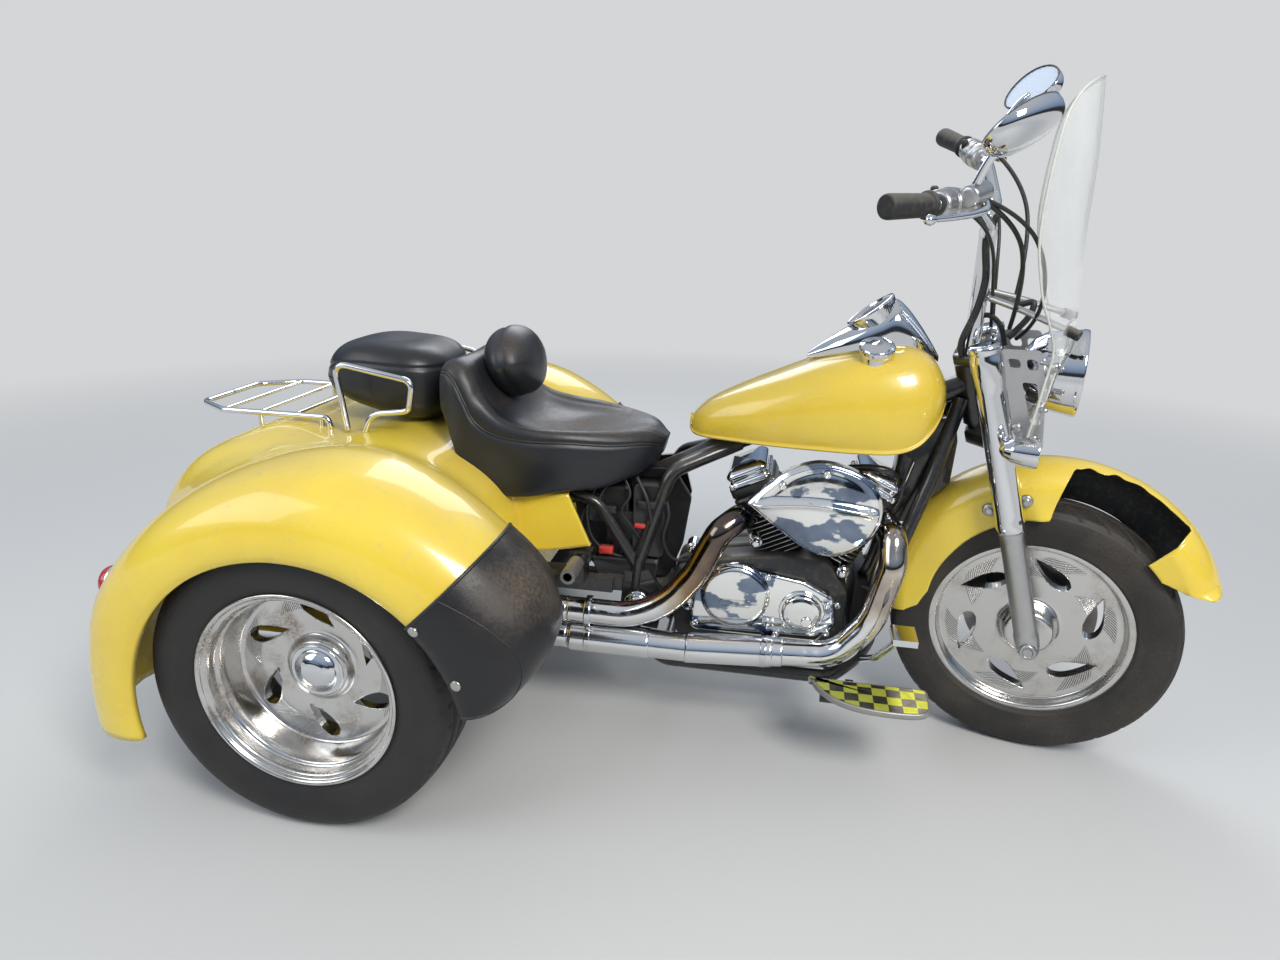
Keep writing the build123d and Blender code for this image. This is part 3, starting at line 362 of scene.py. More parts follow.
def rubber(name, mud, mud_tint):
    """Tyre rubber: mould rings by the UV map's v, and mud that clings by broad noise."""
    finish, tree, links, bsdf = shader(name, (0.008, 0.008, 0.009), 0.0, 0.62)
    patches = speckle(tree, links, 9.0, 7.0)
    grit = speckle(tree, links, 220.0, 3.0)
    film = sums(tree, links, "MULTIPLY", span(tree, links, patches, mud * 0.25, mud, 0.35, 0.68),
                span(tree, links, grit, 0.55, 1.0, 0.4, 0.62))
    links.new(mixed(tree, links, film, (0.008, 0.008, 0.009), mud_tint), bsdf.inputs["Base Color"])
    links.new(span(tree, links, film, 0.5, 0.9, 0.0, 0.7), bsdf.inputs["Roughness"])
    place = tree.new("ShaderNodeTexCoord")
    parts = tree.new("ShaderNodeSeparateXYZ")
    links.new(place.outputs["UV"], parts.inputs["Vector"])
    rings = sums(tree, links, "SINE", sums(tree, links, "MULTIPLY", parts.outputs["Y"], 520.0))
    bumped(tree, links, bsdf, rings, 0.12, 0.0006)
    bumped(tree, links, bsdf, grit, 0.12, 0.0008)
    return finish


def tyre_rings(half, radius, lip, bead, around, across, grooves):
    """Points p = (across, r) by angle: the wall swells as a cubic through bead, belly and shoulder, and
    the tread is an arc; grooves(angle, across) gives how deep each spot is cut."""
    wall = [(half * 0.80, bead), (half * 0.87, lip + 3), (half * 0.97, lip + (radius - lip) * 0.28),
            (half, lip + (radius - lip) * 0.52), (half * 0.96, lip + (radius - lip) * 0.76),
            (half * 0.88, radius - 14), (half * 0.80, radius - 8)]
    wall = curve_through(wall, 15)
    crown_side = np.linspace(half * 0.80, -half * 0.80, across)[1:-1]
    crown = np.stack([crown_side, radius - 8 * np.abs(crown_side / (half * 0.80)) ** 2.4], -1)
    outline = np.concatenate([wall, crown, wall[::-1] * [-1, 1]])
    turn = np.linspace(0, 2 * np.pi, around, endpoint=False)
    side = np.broadcast_to(outline[:, 0], (around, len(outline)))
    reach = outline[:, 1] - grooves(turn[:, None], outline[None, :, 0]) * (outline[:, 1] > radius - 13)
    return side, reach, turn


def curve_through(knots, count):
    """A smooth curve through knots by Catmull-Rom: each span is the cubic whose end slopes are half the
    difference of the neighbours on either side. Knots may be numbers or points."""
    k = np.asarray(knots, float)
    k = k[:, None] if k.ndim == 1 else k
    ends = np.concatenate([2 * k[:1] - k[1:2], k, 2 * k[-1:] - k[-2:-1]])
    t = np.linspace(0, len(k) - 1, count)
    n = np.minimum(t.astype(int), len(k) - 2)
    f = (t - n)[:, None]
    p0, p1, p2, p3 = ends[n], ends[n + 1], ends[n + 2], ends[n + 3]
    out = 0.5 * (2 * p1 + (p2 - p0) * f + (2 * p0 - 5 * p1 + 4 * p2 - p3) * f ** 2
                 + (3 * p1 - p0 - 3 * p2 + p3) * f ** 3)
    return out if np.asarray(knots).ndim > 1 else out[:, 0]


def notch(value, half_width):
    """1 inside a groove's half width and 0 outside, with a short slope between."""
    return np.clip((half_width - np.abs(value)) / 1.6 + 0.5, 0, 1)


def rear_tread(turn, side):
    """Straight grooves 9 mm wide at +-18 and +-52 mm, and sipes 3 mm wide every 9 degrees at the edges."""
    straight = sum(notch(side - at, 4.5) for at in (-52, -18, 18, 52))
    phase = (np.degrees(turn) + 0.05 * np.abs(side)) % 9.0 - 4.5
    sipes = notch(phase * WHEEL_R * np.pi / 180, 1.6) * (np.abs(side) > 54)
    return 7.0 * np.clip(straight + 0.6 * sipes, 0, 1)


tyre_rubber = rubber("tyre_rubber", 0.3, (0.075, 0.065, 0.055))
for side, name in ((-1, "right"), (1, "left")):
    across, reach, turn = tyre_rings(102.5, WHEEL_R, 208.0, 192.0, 360, 40, rear_tread)
    ring = np.stack([reach * np.cos(turn)[:, None], side * WHEEL_SIDE + across,
                     WHEEL_R + reach * np.sin(turn)[:, None]], -1)
    tyre = outward(grid_mesh(f"tyre_{name}", [(row_frame(ring), True, True)], tyre_rubber))
    settle(tyre, f"rear_wheel_{name}", "tyre", f"rear_tyre_{name}")

# Rear body: one glass-fibre shell with a fender over each wheel and a trunk between them, in yellow
# enamel. It is moulded in one piece, and the trunk's lid is cut out of its rear face.
YELLOW = (0.80, 0.6, 0.06)


def enamel(name, colour):
    """Old yellow enamel: broad drift in tone, a thin film of dust, fine scuffs and a little orange peel."""
    finish, tree, links, bsdf = shader(name, colour, 0.0, 0.3, 0.55)
    broad = speckle(tree, links, 4.0, 7.0)
    fine = speckle(tree, links, 48.0, 7.0)
    deeper = (colour[0] * 0.93, colour[1] * 0.88, colour[2] * 0.8)
    tone = mixed(tree, links, span(tree, links, broad, 0.0, 1.0, 0.38, 0.66), colour, deeper)
    scuffs = sums(tree, links, "MULTIPLY", span(tree, links, fine, 0.0, 0.4, 0.6, 0.78),
                  span(tree, links, broad, 0.2, 1.0, 0.4, 0.6))
    lying = sums(tree, links, "MULTIPLY", facing_up(tree, links), span(tree, links, broad, 0.02, 0.2, 0.4,
            0.7))
    film = sums(tree, links, "ADD", scuffs, lying)
    links.new(mixed(tree, links, film, tone, (0.47, 0.4, 0.22)), bsdf.inputs["Base Color"])
    links.new(span(tree, links, film, 0.26, 0.7, 0.0, 0.6), bsdf.inputs["Roughness"])
    bumped(tree, links, bsdf, speckle(tree, links, 320.0, 2.0), 0.03, 0.0004)
    return finish


paint = enamel("yellow_enamel", YELLOW)
ARCH_HUB = (22.0, 262.0)
ARCH_R = 342.0
# Skin radius about the arch's hub, in degrees up from level ahead, for each distance from the middle
PHI = [8.3, 16, 24, 31, 38, 46, 56, 70, 83, 95, 110, 124, 138, 150, 157, 168, 178, 190]
RHO = {
    0: [281, 289, 304, 324, 353, 392, 425, 442, 449, 455, 475, 545, 588, 597, 588, 560, 547, 553],
    200: [281, 289, 304, 324, 353, 392, 422, 438, 446, 453, 473, 545, 588, 597, 588, 560, 547, 553],
    300: [281, 289, 304, 324, 352, 387, 416, 433, 444, 450, 470, 535, 581, 592, 584, 556, 545, 551],
    365: [283, 292, 308, 330, 362, 410, 442, 462, 470, 472, 480, 511, 536, 548, 546, 528, 520, 524],
    430: [326, 380, 450, 485, 490, 487, 488, 494, 493, 488, 482, 488, 505, 524, 528, 512, 506, 510],
    500: [352, 436, 508, 520, 517, 510, 508, 509, 505, 496, 486, 482, 489, 504, 510, 500, 496, 500],
    560: [366, 458, 520, 530, 525, 517, 510, 507, 502, 495, 487, 482, 482, 490, 494, 489, 488, 492],
}
# Rolled shoulder: distance from the middle, and share of the way from the arch's lip out to the crest
SHOULDER = [(612, 0.945), (648, 0.84), (674, 0.68), (690, 0.48), (697, 0.26), (696, 0.1), (690, 0.0)]
LEVELS = {False: 300.0, True: 190.0}
PER_KNOT = 40


def body_sheet(angles):
    """The whole skin for a row of angles: p = hub + rho (cos phi, sin phi) with rho read from each
    column by angle, then a Catmull-Rom curve across the columns, PER_KNOT steps a span. The rear ends
    of the columns slide down to one level, and the front ends rise by 5 degrees towards the arch."""
    dense = [(side, curve_through(np.stack([PHI, row], 1), 900)) for side, row in RHO.items()]
    crest = dense[-1][1]
    for side, share in SHOULDER:
        rolled = crest.copy()
        rolled[:, 1] = ARCH_R + share * (crest[:, 1] - ARCH_R)
        dense.append((side, rolled))
    rows = []
    for side, table in dense:
        reach = np.interp(183.0, table[:, 0], table[:, 1])
        last = 180.0 + np.degrees(np.arcsin((ARCH_HUB[1] - LEVELS[side > 380]) / reach))
        phi = np.where(angles > 165.0, 165.0 + (angles - 165.0) * (last - 165.0) / 25.0, angles)
        raised = np.interp(side, [430, 640], [0.0, 5.0])
        phi = np.where(angles < 30.0, 30.0 - (30.0 - angles) * (21.7 - raised) / 21.7, phi)
        rho = np.interp(phi, table[:, 0], table[:, 1])
        a = np.radians(phi)
        rows.append(np.stack([ARCH_HUB[0] + rho * np.cos(a), np.full_like(a, -side),
                              ARCH_HUB[1] + rho * np.sin(a)], -1))
    knots = np.array(rows)
    return curve_through(knots.reshape(len(knots), -1), PER_KNOT * (len(knots) - 1) + 1).reshape(-1,
            len(angles), 3)


def body_skin(angles, spots, hand):
    """Skin columns at spots along the knots, for the right (hand 1) or the left (hand -1) half."""
    sheet = body_sheet(np.asarray(angles, float))
    at = np.asarray(spots, float) * PER_KNOT
    low = np.clip(np.floor(at).astype(int), 0, len(sheet) - 2)
    part = (at - low)[:, None, None]
    skin = sheet[low] * (1 - part) + sheet[low + 1] * part
    skin[..., 1] *= hand
    return skin.transpose(1, 0, 2)


def spot_of(side):
    """The spot along the knots where the skin is at a distance from the middle, up to 600 mm."""
    sides = list(RHO)
    return np.interp(side, sides, range(len(sides)))


LID_TOP, LID_LOW, LID_SIDE = 137.4, 162.0, 268.0
ends = ((8.3, 50, 28), (50, LID_TOP, 44), (LID_TOP, LID_LOW, 14), (LID_LOW, 190, 16))
stretches = [np.linspace(low, high, count)[(n > 0):] for n, (low, high, count) in enumerate(ends)]
above_lid = len(stretches[0]) + len(stretches[1])
below_lid = above_lid + len(stretches[2]) - 1
whole = np.concatenate(stretches)
outer_spots = np.concatenate([np.linspace(spot_of(LID_SIDE), 6.0, 34), np.linspace(6.0, 13.0, 36)[1:]])
inner_spots = np.linspace(0.0, spot_of(LID_SIDE), 16)
FLANGE = 13.0
body_grids = []
for hand in (1, -1):
    outer = body_skin(whole, outer_spots, hand)
    lip = outer[:, -1:] + [0.0, hand * FLANGE, 0.0]
    inner = body_skin(whole, inner_spots, hand)
    body_grids += [open_sheet(np.concatenate([outer, lip], 1)), open_sheet(inner[:above_lid]),
                   open_sheet(inner[below_lid:])]
rear_body = outward(grid_mesh("rear_body", body_grids, paint), 2e-4)
wall = rear_body.modifiers.new("wall", "SOLIDIFY")
wall.thickness, wall.offset = 0.005, -1.0
settle(rear_body, "chassis", "paint_yellow", "trike_body")

# Trunk lid: a piece of the same skin, 4 mm in from the opening's edge all round, so the joint shows.
# It has the body's yellow enamel and a body of its own; the real lid hangs on a hinge along its top edge.
lid_angles = np.linspace(LID_TOP + 0.5, LID_LOW - 0.45, 26)
lid_spots = np.linspace(0.0, spot_of(LID_SIDE - 4.0), 24)
lid_halves = [open_sheet(body_skin(lid_angles, lid_spots, hand)) for hand in (1, -1)]
trunk_lid = outward(grid_mesh("lid_skin", lid_halves, paint), 2e-4)
lid_wall = trunk_lid.modifiers.new("wall", "SOLIDIFY")
lid_wall.thickness, lid_wall.offset = 0.006, -1.0
settle(trunk_lid, "trunk_lid", "paint_yellow", "trunk_lid")

# Neck panels: yellow side mouldings under the seat, which run forward from the fender's valley to the
# frame's pivot plates, with a rolled edge along the top and bottom.
NECK_TOP = [(200, 640), (250, 604), (300, 588), (360, 586), (415, 588)]
NECK_LOW = [(200, 470), (270, 452), (340, 448), (410, 458), (470, 472)]
NECK_HALF = 166.0
neck_grids = []
for hand in (1, -1):
    top, low = curve_through(NECK_TOP, 44), curve_through(NECK_LOW, 44)
    share = np.linspace(0, 1, 18)[None, :, None]
    face = top[:, None] * (1 - share) + low[:, None] * share
    flare = np.clip((320 - face[..., 0]) / 120.0, 0, 1) ** 2 * 110.0
    side_face = np.stack([face[..., 0], -hand * (NECK_HALF + flare + 8.0 * share[..., 0]), face[..., 1]],
                         -1)
    crown = side_face[:, :1] * [1, 0.9, 1] + [0, 0, 7.0]
    rim = side_face[:, -1:] * [1, 0.93, 1]
    panel = np.concatenate([crown, side_face, rim], 1)
    panel = np.concatenate([panel, panel[-1:] * [1, 0.94, 1]], 0)
    neck_grids.append(open_sheet(panel))
neck = outward(grid_mesh("body_neck", neck_grids, paint))
neck_wall = neck.modifiers.new("wall", "SOLIDIFY")
neck_wall.thickness, neck_wall.offset = 0.004, -1.0
settle(neck, "chassis", "paint_yellow")

# Rider's seat: a moulded foam bucket in black leather-grain vinyl. A welt seam rings the dish, the top
# panel is drawn down over the bolsters, and a skirt is stapled under a pressed base.


def hide(name, colour, dusty):
    """Leather-grain vinyl: fine pebble grain, soft creases, and pale dust that lies in the dish."""
    finish, tree, links, bsdf = shader(name, colour, 0.0, 0.42)
    pebble = tree.new("ShaderNodeTexVoronoi")
    pebble.inputs["Scale"].default_value = 420.0
    place = tree.new("ShaderNodeTexCoord")
    links.new(place.outputs["Object"], pebble.inputs["Vector"])
    broad = speckle(tree, links, 6.0, 6.0)
    dust = sums(tree, links, "MULTIPLY", facing_up(tree, links), span(tree, links, broad, 0.1 * dusty,
            dusty, 0.38, 0.66))
    grit = span(tree, links, speckle(tree, links, 150.0, 4.0), 0.45, 1.0, 0.4, 0.65)
    film = sums(tree, links, "MULTIPLY", dust, grit)
    links.new(mixed(tree, links, film, colour, (0.2, 0.15, 0.1)), bsdf.inputs["Base Color"])
    links.new(span(tree, links, film, 0.34, 0.85, 0.0, 0.5), bsdf.inputs["Roughness"])
    bumped(tree, links, bsdf, pebble.outputs["Distance"], 0.25, 0.0006)
    bumped(tree, links, bsdf, speckle(tree, links, 18.0, 3.0), 0.25, 0.004)
    return finish


# Right-hand space curves, nose to back: dish middle, bolster crown, welt, belly of the skirt, its foot
SEAT_LINES = {
    "dish": [(622, 0, 703), (572, 0, 727), (505, 0, 722), (425, 0, 710), (348, 0, 708), (292, 0, 722),
              (248, 0, 766), (219, 0, 822), (198, 0, 861), (168, 0, 881), (134, 0, 872)],
    "slope": [(621, 16, 703), (574, 38, 728), (506, 66, 725), (424, 92, 717), (346, 104, 716),
              (286, 108, 732), (240, 106, 776), (212, 102, 829), (192, 98, 865), (165, 94, 882),
              (132, 88, 874)],
    "bolster": [(618, 28, 698), (578, 72, 723), (508, 120, 731), (422, 158, 737), (342, 176, 742),
              (272, 182, 758), (223, 178, 798), (200, 172, 841), (180, 166, 870), (157, 156, 881),
              (130, 146, 874)],
    "welt": [(614, 38, 682), (580, 94, 701), (508, 144, 705), (418, 182, 714), (332, 199, 716),
              (258, 203, 726), (212, 202, 752), (187, 200, 796), (165, 194, 836), (147, 186, 854),
              (126, 174, 856)],
    "belly": [(608, 42, 661), (572, 100, 661), (500, 150, 649), (412, 188, 652), (328, 204, 648),
              (256, 206, 652), (210, 206, 676), (177, 205, 716), (157, 200, 768), (142, 192, 805),
              (124, 180, 817)],
    "foot": [(600, 40, 644), (560, 94, 626), (490, 138, 603), (408, 176, 599), (326, 194, 586),
              (252, 197, 586), (204, 198, 606), (173, 197, 650), (153, 194, 704), (140, 188, 742),
              (126, 178, 770)],
    "under": [(590, 20, 648), (550, 50, 634), (480, 80, 615), (400, 120, 612), (322, 140, 598),
              (250, 150, 598), (207, 150, 622), (177, 150, 664), (158, 150, 714), (146, 146, 752),
              (134, 140, 778)],
}


def seat_surface(lines, along, spans):
    """A Catmull-Rom surface: each line is a smooth curve along the seat, and across it a second smooth
    curve runs through the lines. The right half is mirrored to make the left."""
    rails = np.array([curve_through(points, along) for points in lines.values()])
    count = spans * (len(rails) - 1) + 1
    mirror = rails[1:2] * [1, -1, 1]
    padded = np.concatenate([mirror, rails])
    half = curve_through(padded.reshape(len(padded), -1), spans * (len(padded) - 1) + 1)[spans:]
    half = half.reshape(count, along, 3)
    left = half[::-1][:-1]
    return np.concatenate([left, half * [1, -1, 1]]).transpose(1, 0, 2)


def crease(surface, at, depth, width):
    """Draws a seam into a surface at a column, as a bell of the column distance, along the normals."""
    along = np.gradient(surface, axis=0)
    across = np.gradient(surface, axis=1)
    normal = np.cross(along, across)
    normal /= np.maximum(np.linalg.norm(normal, axis=-1, keepdims=True), 1e-9)
    columns = np.arange(surface.shape[1])
    bell = sum(np.exp(-((columns - place) / width) ** 2) for place in at)
    return surface + depth * bell[None, :, None] * normal


SPANS = 12
seat = seat_surface(SEAT_LINES, 130, SPANS)
middle = seat.shape[1] // 2
welts = [middle + side * 3 * SPANS for side in (-1, 1)]
outward_sign = np.sign(np.cross(np.gradient(seat, axis=0), np.gradient(seat, axis=1))[60, middle, 2])
seat = crease(seat, welts, -3.0 * outward_sign, 1.3)
seat = crease(seat, [middle + side * 1.6 * SPANS for side in (-1, 1)], -1.2 * outward_sign, 1.0)
# The black vinyl has a faint blue tint in its colour: a painted sheen, for the blue sky that its gloss
# reflects.
black_hide_painted_sheen = hide("black_hide_painted_sheen", (0.012, 0.014, 0.018), 0.5)
rider_seat = outward(grid_mesh("bucket_seat", [swept(seat)], black_hide_painted_sheen))
shell = bmesh.new()
shell.from_mesh(rider_seat.data)
bmesh.ops.holes_fill(shell, edges=[e for e in shell.edges if e.is_boundary], sides=0)
bmesh.ops.recalc_face_normals(shell, faces=shell.faces)
shell.to_mesh(rider_seat.data)
shell.free()
settle(rider_seat, "chassis", "leather", "rider_seat")

# Welt cord: a rolled piping sewn into the seam round the bucket
WELT_R = 3.2


def frames_along(path):
    """Unit tangent, side and lift at each point of a path; each side is the one before, projected."""
    tangent = np.gradient(path, axis=0)
    tangent /= np.linalg.norm(tangent, axis=1)[:, None]
    side = np.empty_like(path)
    guess = np.array([0.0, 1.0, 0.0]) if abs(tangent[0, 1]) < 0.9 else np.array([0.0, 0.0, 1.0])
    for n, t in enumerate(tangent):
        guess = guess - t * (guess @ t)
        guess = guess / np.linalg.norm(guess)
        side[n] = guess
    return tangent, side, np.cross(tangent, side)


def tube_grid(path, radius, around=16, capped=True):
    """A round section carried along a path: p + r (side cos a + lift sin a), r one number or one a point."""
    path = np.asarray(path, float)
    side, lift = frames_along(path)[1:]
    r = np.broadcast_to(np.asarray(radius, float), (len(path),))[:, None, None]
    a = np.linspace(0, 2 * np.pi, around, endpoint=False)[None, :, None]
    skin = path[:, None, :] + r * (side[:, None, :] * np.cos(a) + lift[:, None, :] * np.sin(a))
    if capped:
        skin = np.concatenate([np.repeat(path[:1, None], around, 1), skin, np.repeat(path[-1:, None],
                around, 1)])
    return skin


piping = [swept(tube_grid(seat[:, column], WELT_R, 10)) for column in welts]
build("seat_piping", piping, black_hide_painted_sheen, "chassis", "leather")

# Passenger's pad: a thick crowned cushion with a box seam round its edge, tapered to the back.
# Its cover is the seat's black vinyl, over foam that is firmer than the seat's.
PAD_MIDDLE = (-54.0, 0.0, 812.0)


def pad_surface(half_long, half_wide, half_tall, square, rows=72, around=128):
    """A superellipsoid with a flattened belly: the outline is |x|^n + |y|^n = 1, and the height follows
    (1 - r^m)^(1/m) with r the share of the way out to the edge."""
    a = np.linspace(0, 2 * np.pi, around, endpoint=False)
    reach = (np.abs(np.cos(a)) ** square + np.abs(np.sin(a)) ** square) ** (-1.0 / square)
    lat = np.linspace(-np.pi / 2, np.pi / 2, rows)[:, None]
    out = np.sign(np.cos(lat)) * np.abs(np.cos(lat)) ** 0.42
    up = np.sign(np.sin(lat)) * np.abs(np.sin(lat)) ** 0.7
    return np.stack([half_long * out * reach * np.cos(a), half_wide * out * reach * np.sin(a),
                     half_tall * up + 0 * a], -1)


pad = pad_surface(158.0, 148.0, 92.0, 3.0)
seam = np.exp(-((pad[..., 2] - 44.0) / 3.0) ** 2)
pad[..., :2] *= 1 - 0.022 * seam[..., None]
taper = 1.0 - 0.10 * np.clip(-pad[..., 0] / 144.0, 0, 1)
pad[..., 1] *= taper
pad[..., 2] -= 0.0014 * np.clip(-pad[..., 0], 0, None) ** 2 * (pad[..., 2] > 0)
pad[..., 2] *= np.where(pad[..., 2] < 0, 0.55 + 0.45 * np.clip((pad[..., 0] + 158.0) / 230.0, 0, 1), 1.0)
pad[..., 2] -= 0.055 * pad[..., 0]
pad[..., 2] -= 7.0 * np.exp(-((pad[..., 0] - 20) / 70) ** 2 - (pad[..., 1] / 90) ** 2) * (pad[..., 2] > 0)
passenger = outward(grid_mesh("passenger_pad", [swept(pad + PAD_MIDDLE)], black_hide_painted_sheen), 1e-4)
settle(passenger, "chassis", "leather", "pillion_seat")

# Rider's backrest: an oval pad with a seam and piping round its rim, on a post out of the seat.
# It is foam under the same black vinyl, narrower at its foot.
REST_MIDDLE = np.array([246.0, 0.0, 858.0])
REST_FORE = np.array([0.94, 0.0, 0.34])
REST_UP = np.array([-0.34, 0.0, 0.94])
a = np.linspace(0, 2 * np.pi, 96, endpoint=False)
lat = np.linspace(-np.pi / 2, np.pi / 2, 40)[:, None]
out, swell = np.abs(np.cos(lat)) ** 0.62, np.sign(np.sin(lat)) * np.abs(np.sin(lat)) ** 0.9
groove = 1 - 0.03 * np.exp(-(lat / 0.09) ** 2)
narrow = 1 - 0.16 * np.clip(-np.sin(a), 0, 1)
rest = REST_MIDDLE + (58.0 * swell + 0 * a)[..., None] * REST_FORE \
    + (84.0 * out * groove * np.sin(a))[..., None] * REST_UP \
    + (116.0 * narrow * out * groove * np.cos(a))[..., None] * np.array([0.0, 1.0, 0.0])
backrest = grid_mesh("backrest_pad", [swept(rest)], black_hide_painted_sheen)
settle(outward(backrest, 1e-4), "chassis", "leather", "rider_backrest")
post = tube_grid([(246, 0, 830), (232, 0, 806), (208, 0, 772)], 13, 20)
build("backrest_post", [swept(post)], black_enamel, "chassis", "frame_black")

# Fender covers: black vinyl stretched over the forward face of each rear fender. A welt runs along the
# top and the bottom edge, one sewn seam runs down the face, and two snap studs hold it at the arch.
COVER_LOW, COVER_TOP = 8.3, 45.5


def off_skin(angles, spots, hand, lift):
    """The fender's skin moved out along its normal n = d/dphi x d/dspot by a lift in millimetres."""
    skin = body_skin(angles, spots, hand)
    normal = hand * np.cross(np.gradient(skin, axis=0), np.gradient(skin, axis=1))
    normal /= np.maximum(np.linalg.norm(normal, axis=-1, keepdims=True), 1e-9)
    return skin + lift * normal


vinyl = hide("cover_vinyl", (0.009, 0.009, 0.011), 0.9)
cover_grids, welts, studs = [], [], []
cover_spots = np.linspace(3.0, 13.0, 84)
for hand in (1, -1):
    full = np.linspace(COVER_LOW, COVER_TOP, 60)
    face = off_skin(full, cover_spots, hand, 4.5)
    thick = off_skin(full, cover_spots, hand, 1.0)
    ring = np.concatenate([face, thick[:, ::-1]], 1)
    cover_grids.append(swept(ring))
    top = off_skin(full, cover_spots, hand, 3.0)
    for row in (-1, 0):
        welts.append(swept(tube_grid(top[row], 3.6 if row else 3.0, 12)))
    seam_spots = np.interp(full, [COVER_LOW, COVER_TOP], [7.8, 10.0])
    raised = off_skin(full, cover_spots, hand, 4.6)
    seam = np.array([[np.interp(spot, cover_spots, raised[n, :, k]) for k in range(3)]
                     for n, spot in enumerate(seam_spots)])
    welts.append(swept(tube_grid(seam, 1.5, 8)))
    for row, spot in ((-4, 12.3), (22, 11.9)):
        column = int(np.argmin(np.abs(cover_spots - spot)))
        middle = face[row, column]
        out = face[row, column] - thick[row, column]
        profile = evenly([(-2, 10.5), (2, 10.5), (3.4, 9), (4.4, 5), (4.6, 0)], 1.2)
        studs.append(spun(turned_grid(profile, middle, out, (0, 0, 1), 24)))
build("vinyl_covers", cover_grids, vinyl, "chassis", "vinyl", "fender_covers", merge=1e-4)
build("cover_welts", welts, black_hide_painted_sheen, "chassis", "vinyl", merge=1e-4)
stud_steel = worn("stud_steel", (0.55, 0.54, 0.5), 1.0, 0.28, dust=0.2)
build("cover_studs", studs, stud_steel, "chassis", "steel")

# Tail lamps: round red lenses with moulded rings, in plated bezels on the fenders' rear faces.
# Each lens stands out past its bezel, so that its red side shows from ahead as well.
lens_red, tree, links, bsdf = shader("lamp_red", (0.42, 0.008, 0.01), 0.0, 0.12, 0.5)
rings = tree.new("ShaderNodeTexWave")
rings.wave_type, rings.rings_direction = "RINGS", "SPHERICAL"
rings.inputs["Scale"].default_value = 2.0
bumped(tree, links, bsdf, rings.outputs["Fac"], 0.3, 0.002)
links.new(span(tree, links, speckle(tree, links, 30.0), 0.08, 0.25), bsdf.inputs["Roughness"])
lamp_grids, bezels = [], []
for side in (-1, 1):
    lamp = (-478.0, side * 520.0, 440.0)
    domed = evenly([(-20, 34), (-2, 34), (6, 31), (10, 21), (12, 0)], 3.0)
    lamp_grids.append(spun(turned_grid(domed, lamp, (-1, 0, 0), (0, 1, 0), 48)))
    band = evenly([(-24, 35), (-14, 37), (-11, 37), (-9, 36), (-9, 33)], 3.0)
    bezels.append(spun(turned_grid(band, lamp, (-1, 0, 0), (0, 1, 0), 48)))
build("tail_lenses", lamp_grids, lens_red, "chassis", "lamp_red", "tail_lamps")
build("tail_bezels", bezels, chrome, "chassis", "chrome")

# Luggage rack and grab rails: plated steel tube bent to a loop, with cross bars and posts welded on.
# The posts stand on flanged feet on the body, and a rail runs up either side of the pad.
def bent(corners, bends, step=6.0):
    """A polyline with its inner corners rounded: an arc of radius r tangent to both sides,
    c + a cos s - u r sin s for s from 0 to the turn, where c = corner + bisector r / cos(turn / 2)."""
    corners = np.asarray(corners, float)
    route = [corners[:1]]
    for before, here, after, r in zip(corners, corners[1:], corners[2:], bends):
        u, v = before - here, after - here
        u, v = u / np.linalg.norm(u), v / np.linalg.norm(v)
        turn = np.pi - np.arccos(np.clip(u @ v, -1, 1))
        bisector = (u + v) / np.linalg.norm(u + v)
        middle = here + bisector * r / np.cos(turn / 2)
        start = here + u * r * np.tan(turn / 2) - middle
        s = np.linspace(0, turn, max(4, int(turn * r / 6.0)))[:, None]
        route.append(middle + start * np.cos(s) - u * r * np.sin(s))
    route.append(corners[-1:])
    return evenly(np.concatenate(route), step)


RACK_Z = 732.0
rack, rails = [], []
for hand in (1, -1):
    half_loop = [(-518, 0), (-518, -hand * 110), (-425, -hand * 172), (-158, -hand * 172)]
    loop = bent([(*spot, RACK_Z) for spot in half_loop] + [(-150, -hand * 172, 706)], [34, 40, 16])
    rack.append(swept(tube_grid(loop, 7, 16)))
    for x, foot in ((-330, 672), (-175, 700)):
        post = bent([(x, -hand * 168, RACK_Z), (x, -hand * 168, foot)], [])
        rack.append(swept(tube_grid(post, 6, 14)))
        flange = evenly([(-6, 15), (-2, 15), (0, 12), (2, 8), (2, 0)], 2.0)
        rack.append(spun(turned_grid(flange, (x, -hand * 168, foot + 5), (0, 0, 1), (1, 0, 0), 24)))
    rail = [(-90, 713), (-102, 800), (-112, 868), (72, 836), (60, 768), (-30, 756), (-50, 712.3)]
    path = bent([(x, -hand * 205, z) for x, z in rail], [60, 20, 20, 20, 40])
    rails.append(swept(tube_grid(path, 7, 16)))
for x in (-240, -330, -425):
    bar = bent([(x, -170, RACK_Z), (x, 170, RACK_Z)], [])
    rack.append(swept(tube_grid(bar, 5, 14)))
build("rack_tubes", rack, chrome, "chassis", "chrome", "luggage_rack", merge=1e-4)
build("rail_tubes", rails, chrome, "chassis", "chrome", "grab_rails", merge=1e-4)

# Engine: a black V-twin. The crankcase is a cast block with rounded edges, and each cylinder is a
# stack of thin cast fins whose rims are machined bright. The cylinders lean 26 degrees each way.
# The plated covers on the right carry broad dark blue-grey and white patches with sharp edges:
# a painted reflection of trees and sky.
CRANK = np.array([960.0, 0.0, 340.0])
LEAN = np.radians(26.0)
FIN_FIRST, FIN_PITCH, FIN_COUNT = 128.0, 11.0, 11
HEAD_FROM, HEAD_TALL, COVER_TALL = 249.0, 62.0, 44.0


def rounded(corners, radius, step=4.0):
    """A closed outline in a plane with every corner rounded by one radius."""
    corners = np.asarray(corners, float)
    start = (corners[-1:] + corners[:1]) / 2
    path = bent(np.concatenate([start, corners, start]), [radius] * len(corners), step)
    return path[:-1]


